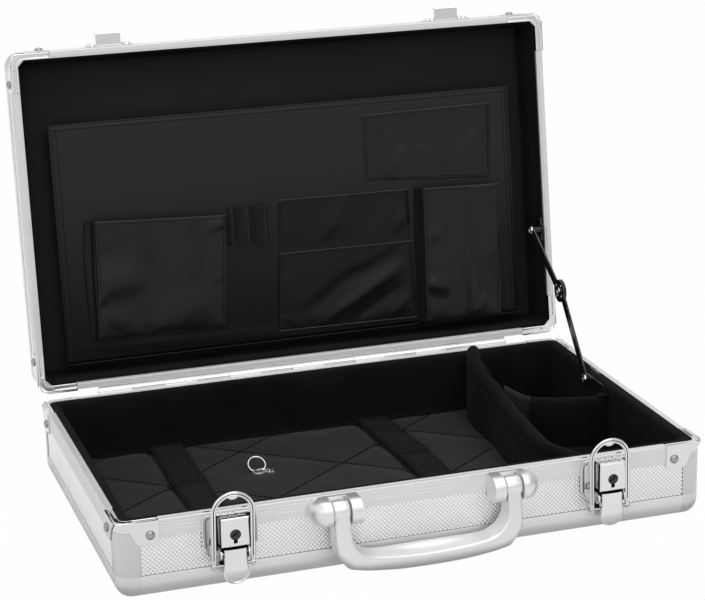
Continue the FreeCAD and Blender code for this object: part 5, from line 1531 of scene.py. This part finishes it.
class CASE_OT_latches(bpy.types.Operator):
    """Build the two draw latches: plates, locks, levers, bails and catches"""
    bl_idname = "case.latches"
    bl_label = "Draw Latches"

    def execute(self, context):
        dress("plate", "latch_plates", round_off=0.3)
        dress("chrome", "lock_housings", round_off=0.25)
        dress("chrome", "lid_catches", round_off=0.2)
        dress("dark_chrome", "lever_pins", "left_bail_pin", "right_bail_pin")
        dress("lock_core", "left_lock_cylinder", "right_lock_cylinder", round_off=0.1)
        rivets, screws, clips, case_and_gap_shade, trims = (Shape() for _ in range(5))
        for name, x, lean, foot, lip in (("left", -LATCH_X, 0.0, 7.2, 1.9),
                                         ("right", LATCH_X, -3.1, 7.0, 0.0)):
            self.bail(name, x, lean)
            self.paddle(name, x + LOCK_SHIFT, foot, lip)
            for step in (-14.0, 14.0):
                for h in (7.0, 18.0):
                    dome(rivets, (x + step, -HALF_D - 1.2, h), (0, -1, 0), 2.6, 1.8)
            for step in (-14.2, 14.2):
                dome(screws, (x + step, -HALF_D - 1.15, 37.5), (0, -1, 0), 3.1, 1.0)
            lock = x + LOCK_SHIFT
            lip = [(lock - 9.4 + 0.52 * k, -140.3 - 0.4 * math.sin(k * 1.1),
                    58.2 + 0.35 * math.sin(k * 1.7) + 0.2 * math.sin(k * 0.6))
                   for k in range(37)]
            clips.sweep(lip, circle(0.45, 8, 2.4), up=(0, 1, 0))
            line = ([(x - u, TRIM_Y, z) for u, z in TRIM_LINE]
                    + [(x + u, TRIM_Y, z) for u, z in TRIM_LINE[::-1]])
            trims.sweep(smooth_path(line, 90), circle(0.8, 8), up=(0, 1, 0))
            # A thin line of painted shade down the left edge of each plate.
            edge = smooth_path([(x - 17.3, -137.6, 31.0), (x - 17.3, -137.6, 51.6),
                                (x - 16.4, -137.6, 53.9), (x - 14.2, -137.6, 54.9)], 30)
            case_and_gap_shade.sweep(edge, circle(0.2, 6), up=(0, 1, 0))
            # Black inner case of the lock, and painted shade in the slits round its plated cover,
            # seen together as a dark line round it.
            for left, right, low, high, front in ((10.45, 10.3, 35.1, 56.6, -146.6),
                                                  (11.7, 15.4, 30.0, 56.6, -138.3),
                                                  (9.5, 9.5, 17.0, 34.0, -138.1)):
                prism(case_and_gap_shade, rectangle(lock - left, lock + right, low, high), front, -137.1, 1)
            prism(trims, rectangle(lock - 10.75, lock - 10.4, 37.0, 56.4), -144.6, -140.6, 1)
            # Dark bar of painted shade inside the top of the lock's cover; it does not show.
            shade_bar_low = 54.2 if name == "right" else 55.6
            prism(screws, rectangle(lock - 10.2, lock + 10.2, shade_bar_low, 56.75), -146.95, -143.0, 1)
        make("catch_rivet_domes", rivets, "chrome", "lid", LID,
             replaces=("catch_rivets",))
        make("latch_screws_and_shade_bars", screws, "dark_chrome", "base")
        make("latch_springs", clips, "bead", "base")
        make("latch_plate_trims", trims, "plate", "base")
        make("lock_cases_and_gap_shade", case_and_gap_shade, "shade", "base", bevel=0.2)
        self.keyways()
        return {"FINISHED"}

    def bail(self, name, x, lean):
        """Rounded wire loop with a sunken channel down its middle, painted shade along it, flat
        feet and a hooking tab.
        """
        mid, reach = 14.2, 40.7
        turn = np.linspace(0, 2 * math.pi, 28, endpoint=False)
        dip = 1 - 0.62 * np.exp(-(np.cos(turn) / 0.30) ** 2)
        section = np.stack([1.85 * np.cos(turn), 1.35 * np.sin(turn) * dip], -1)
        legs = np.linspace(-3.0, reach, 12)
        path = [(-mid, 0, z) for z in legs]
        path += [(-mid * math.cos(a), 0, reach + mid * math.sin(a))
                 for a in np.linspace(0, math.pi, 34)[1:-1]]
        path += [(mid, 0, z) for z in legs[::-1]]
        scales = np.ones(len(path))
        scales[[0, -1]], scales[[1, -2]] = 0.5, 0.9
        loop = Shape().sweep(path, section, up=(0, -1, 0), scales=scales)
        loop.blob((0, -0.1, 52.6), (3.6, 1.0, 1.9), 14)
        for s in (-1, 1):
            loop.blob((s * mid, 0, -0.6), (1.8, 1.3, 2.2), 12)
        tilt = Matrix.Rotation(math.radians(BAIL_TILT), 4, "X")
        slack = Matrix.Rotation(math.radians(lean), 4, "Y")
        place = Matrix.Translation((x, *BAIL_AXIS)) @ tilt @ slack
        make(name + "_bail_loop", loop, "chrome", name + "_bail", place, angle=60,
             replaces=(name + "_bail",))
        # Two dark strips lying in the wire's channel: painted shade.
        channel_shade = Shape()
        for side in (-0.62, 0.62):
            channel_shade.sweep([(p[0], side, p[2]) for p in path[2:-2]], circle(0.26, 8), up=(0, -1, 0))
        make(name + "_bail_channel_shade", channel_shade, "shade", name + "_bail", place, angle=60)

    def paddle(self, name, x, foot, lip):
        """Lever: a pressed paddle with a waist, a rounded foot with a lip and turned-in cheeks."""
        across = np.sin(np.linspace(-math.pi / 2, math.pi / 2, 33))
        down = 1 - np.cos(np.linspace(0, math.pi, 43))
        rows = []
        for v in down / 2:
            row = []
            for u in across:
                low = foot + 8.2 * (1 - math.sqrt(max(1 - u * u, 0)))
                z = 33.4 + (low - 33.4) * v
                half = np.interp(z, [8, 12, 16, 19, 24, 33.4], [8.9, 9.1, 9.0, 8.6, 7.9, 7.8])
                border = half * (1 - abs(u))
                edge = 0.9 * math.exp(-border / 0.6) - lip * math.exp(-(z - low) / 0.8)
                lift = np.interp(z - foot, PADDLE_LEVELS, PADDLE_SWELL) - 0.35 * (1 - u * u)
                row.append((x + half * u, PADDLE_Y + lift + edge, z))
            rows.append(row)
        made = Shape().grid(rows)
        outer = Shape()
        cheek = [(-146.4, 32.8), (-141.4, 32.0), (-140.0, 28.0), (-142.8, 18.9), (-146.4, 16.3)]
        for s in (-1, 1):
            prism(outer, cheek, x + s * 7.0, x + s * 8.0)
        make(name + "_paddle_skin", made, "chrome", name + "_lever", angle=70,
             thick=0.9, subdivide=1, replaces=(name + "_latch_lever",))
        make(name + "_paddle_cheeks", outer, "chrome", name + "_lever", bevel=0.25)

    def keyways(self):
        """Keyways drawn as painted shade: a dark slanted slot in each barrel and a dark notch below
        it.
        """
        for name, x in (("left", LOCK_SHIFT - LATCH_X), ("right", LOCK_SHIFT + LATCH_X)):
            a = math.radians(40)
            corners = [(u * math.cos(a) - w * math.sin(a), 44.5 + u * math.sin(a) + w * math.cos(a))
                       for u, w in rectangle(-2.7, 2.7, -0.55, 0.55)]
            slot = Shape()
            rings = np.array([[(x + p, y, q) for p, q in corners] for y in (-147.35, -146.9)])
            slot.grid(rings, (False, True))
            slot.faces.append([0, 1, 2, 3])
            make(name + "_keyway_shade", slot, "shade", name + "_lock")
        notch = Shape()
        for x in (LOCK_SHIFT - LATCH_X, LOCK_SHIFT + LATCH_X):
            prism(notch, rectangle(x - 1.3, x + 1.3, 38.0, 41.0), -146.6, -146.2, 1)
        make("keyway_notch_shade", notch, "shade", "base")


# Left half of the grip's two outlines as (x, z), and its front and back at each height as
# heights and the y there.
GRIP_OUTER = [(-71.9, 57.0), (-71.9, 40.0), (-71.9, 27.0), (-71.2, 21.0), (-70.2, 18.6),
              (-66.2, 12.9), (-62.8, 8.5), (-61.2, 7.4), (-56.0, 6.2), (-47.0, 4.4),
              (-24.0, 1.7), (0.0, 0.8)]
GRIP_INNER = [(-59.1, 57.0), (-59.1, 46.0), (-59.0, 36.5), (-57.6, 29.0), (-53.2, 22.6),
              (-46.5, 18.4), (-40.0, 16.8), (-28.0, 15.3), (-14.0, 14.4), (0.0, 14.1)]
GRIP_FRONT = ([0.8, 2, 4, 8, 14, 24, 40, 50, 54, 57],
              [-153.4, -155.9, -157.7, -158.6, -158.6, -157.4, -154.6, -152.9, -151.3, -147.5])
GRIP_BACK = ([1, 3, 8, 14, 30, 50, 57], [-147.5, -142.6, -139.4, -138.8, -139.3, -138.6, -143.0])
# Section of the grip: share of the way from its outer to its inner line, and of its depth.
GRIP_SECTION = [(0.0, 0.50), (0.0, 0.34), (0.03, 0.19), (0.12, 0.07), (0.28, 0.005),
                (0.50, -0.02), (0.80, -0.022), (0.90, -0.012), (0.935, 0.04), (0.96, 0.12),
                (0.98, 0.20), (1.0, 0.32), (1.0, 0.44), (1.0, 0.58), (1.0, 0.72), (0.96, 0.88),
                (0.85, 0.985), (0.6, 1.0), (0.3, 1.0), (0.10, 0.97), (0.02, 0.86), (0.0, 0.70)]
LUG = [(-136.0, 58.8), (-146.5, 58.8), (-151.2, 57.2), (-154.2, 53.4), (-155.0, 48.6),
       (-153.6, 43.6), (-150.0, 40.4), (-136.0, 39.8)]


class CASE_OT_handle(bpy.types.Operator):
    """Mould the handle and its brackets"""
    bl_idname = "case.handle"
    bl_label = "Handle"

    def execute(self, context):
        dress("dull_chrome", "handle_pins")
        self.grip()
        self.knuckles()
        self.brackets()
        return {"FINISHED"}

    def grip(self):
        """Moulded grip: a section carried between its outer and inner lines."""
        outer, inner = (smooth_path([(x, 0, z) for x, z in half]
                                    + [(-x, 0, z) for x, z in half[-2::-1]], 110)
                        for half in (GRIP_OUTER, GRIP_INNER))
        rings = []
        for o, i in zip(outer, inner):
            ring = []
            palm = 0.30 * max(1 - (o[0] / 54.0) ** 2, 0.0) ** 0.9
            for across, depth in GRIP_SECTION:
                swell = math.exp(-((depth - 0.70) / 0.24) ** 2)
                across += palm * max(across - 0.4, 0) / 0.6 * swell
                x, _, z = o + (i - o) * across
                front, back = np.interp(z, *GRIP_FRONT), np.interp(z, *GRIP_BACK)
                ring.append((x, front + (back - front) * depth, z))
            rings.append(ring)
        make("grip_body", Shape().tube(rings), "silver_paint", "handle", angle=80,
             subdivide=1, replaces=("handle_grip",))

    def knuckles(self):
        """Barrels of the grip's two ends, round its pins."""
        y, z = HANDLE_AXIS
        shape = Shape()
        for s in (-1, 1):
            stations = np.linspace(0, 1, 17)
            path = [(s * (59.1 + 12.8 * t), y, z) for t in stations]
            swell = [8.1 * (1 - 0.07 * (2 * t - 1) ** 2 - 0.12 * abs(2 * t - 1) ** 14)
                     for t in stations]
            shape.sweep(path, circle(1.0, 40), up=(0, 0, 1), scales=swell)
        make("handle_knuckles", shape, "silver_paint", "handle", angle=50)

    def brackets(self):
        """Straight inner lugs, domed outer lugs, their foot plates and the bridges between."""
        lug = smooth_path([(0, *p) for p in LUG], 40)[:, 1:]
        wall, middle = -HALF_D, 49.4
        plates = Shape()
        for s in (-1, 1):
            shape = Shape()
            prism(shape, lug, s * 50.0, s * 58.5)
            reach, k = [72.4], [1.0]
            for t in np.linspace(0, 0.985, 14):
                reach.append(76.6 + 11.4 * t)
                k.append(math.sqrt(1 - t * t) * (1 - 0.10 * t))
            rings = np.array([[(s * x, wall + (p - wall) * (0.12 + 0.88 * m),
                                middle + (q - middle) * m)
                               for p, q in lug] for x, m in zip(reach, k)])
            shape.tube(rings)
            make("%s_handle_lugs" % ("left" if s < 0 else "right"), shape, "silver_paint", "base",
                 bevel=0.5, replaces=("handle_mounts",) if s < 0 else ())
            prism(plates, rectangle(wall, wall - 3.4, 55.4, 58.7), s * 58.0, s * 73.0)
            prism(plates, rectangle(wall, wall - 1.3, 39.4, 58.4), s * 50.4, s * 83.0)
        make("handle_plates", plates, "silver_paint", "base", bevel=0.3)


class CASE_OT_hinge_and_stay(bpy.types.Operator):
    """Finish the piano hinge and the folding lid stay"""
    bl_idname = "case.hinge_and_stay"
    bl_label = "Hinge and Stay"

    def execute(self, context):
        dress("hinge_metal", "hinge_base_leaf", "hinge_lid_leaf", round_off=0.12)
        dress("dull_chrome", "hinge_pin")
        dress("stay_black", "stay_lower_arm", "stay_upper_arm", "stay_base_bracket",
              "stay_lid_bracket", round_off=0.2)
        dress("chrome", "stay_lower_screw", "stay_upper_screw", "stay_elbow_rivet",
              round_off=0.15)
        pips = Shape()
        for turn in (0.6, 2.2, 3.7, 5.3):
            dome(pips, (207.7, 95.6 + 6.4 * math.cos(turn), 113.9 + 6.4 * math.sin(turn)),
                 (-1, 0, 0), 0.95, 0.6, 10)
        make("stay_disc_pips", pips, "chrome", "stay_upper")
        self.leaf_rivets("base", BASE_H - 9.0, None)
        self.leaf_rivets("lid", 10.0, LID)
        return {"FINISHED"}

    def leaf_rivets(self, part, level, place):
        """Nine rivet heads along that half's hinge leaf."""
        heads = Shape()
        for k in range(9):
            dome(heads, (-168.0 + 42.0 * k, HALF_D + 1.2, level), (0, 1, 0), 2.2, 0.9, 14)
        make("hinge_%s_rivets" % part, heads, "dull_chrome", part, place)


class CASE_OT_keys(bpy.types.Operator):
    """Put the keys on their split ring"""
    bl_idname = "case.keys"
    bl_label = "Keys"

    def execute(self, context):
        dress("dull_chrome", "keys", round_off=0.12)
        turns = np.linspace(0, 4 * math.pi, 96)
        coil = [(6.9 * math.cos(a), 6.9 * math.sin(a), -0.55 + 1.1 * a / (4 * math.pi))
                for a in turns]
        wire = Shape().sweep(coil, circle(0.62, 10), up=(0, 0, 1))
        lean = Matrix.Rotation(math.radians(42.0), 4, "X")
        make("split_ring", wire, "chrome", "key_bunch",
             Matrix.Translation((-73.5, 42.6, 17.6)) @ lean, replaces=("key_ring",))
        return {"FINISHED"}


# ------------------------------------------------------------------ running it
OPERATORS = (CASE_OT_stage, CASE_OT_shell, CASE_OT_base_velvet, CASE_OT_floor_pad,
             CASE_OT_straps, CASE_OT_dividers, CASE_OT_lid_lining, CASE_OT_organizer,
             CASE_OT_pockets, CASE_OT_pen_loops, CASE_OT_rivets, CASE_OT_latches,
             CASE_OT_handle, CASE_OT_hinge_and_stay, CASE_OT_keys)


class CASE_PT_sidebar(bpy.types.Panel):
    """Sidebar list of the case's parts and their sizes and colours"""
    bl_label = "Attache Case"
    bl_idname = "CASE_PT_sidebar"
    bl_space_type = "VIEW_3D"
    bl_region_type = "UI"
    bl_category = "Case"

    def draw(self, context):
        for group in (context.scene.case_sizes, context.scene.case_colours):
            box = self.layout.box()
            for name in group.__annotations__:
                box.prop(group, name)
        for operator in OPERATORS:
            self.layout.operator(operator.bl_idname)


def register():
    """Add the add-on's classes and its settings."""
    for made in (CaseColours, CaseSizes, *OPERATORS, CASE_PT_sidebar):
        bpy.utils.register_class(made)
    bpy.types.Scene.case_colours = PointerProperty(type=CaseColours)
    bpy.types.Scene.case_sizes = PointerProperty(type=CaseSizes)


def unregister():
    """Take the add-on's settings and classes away again."""
    del bpy.types.Scene.case_sizes
    del bpy.types.Scene.case_colours
    for made in reversed((CaseColours, CaseSizes, *OPERATORS, CASE_PT_sidebar)):
        bpy.utils.unregister_class(made)


def main():
    """Build the case from the bare solids."""
    register()
    make_materials()
    for operator in OPERATORS:
        group, name = operator.bl_idname.split(".")
        getattr(getattr(bpy.ops, group), name)()


if __name__ == "__main__":
    main()
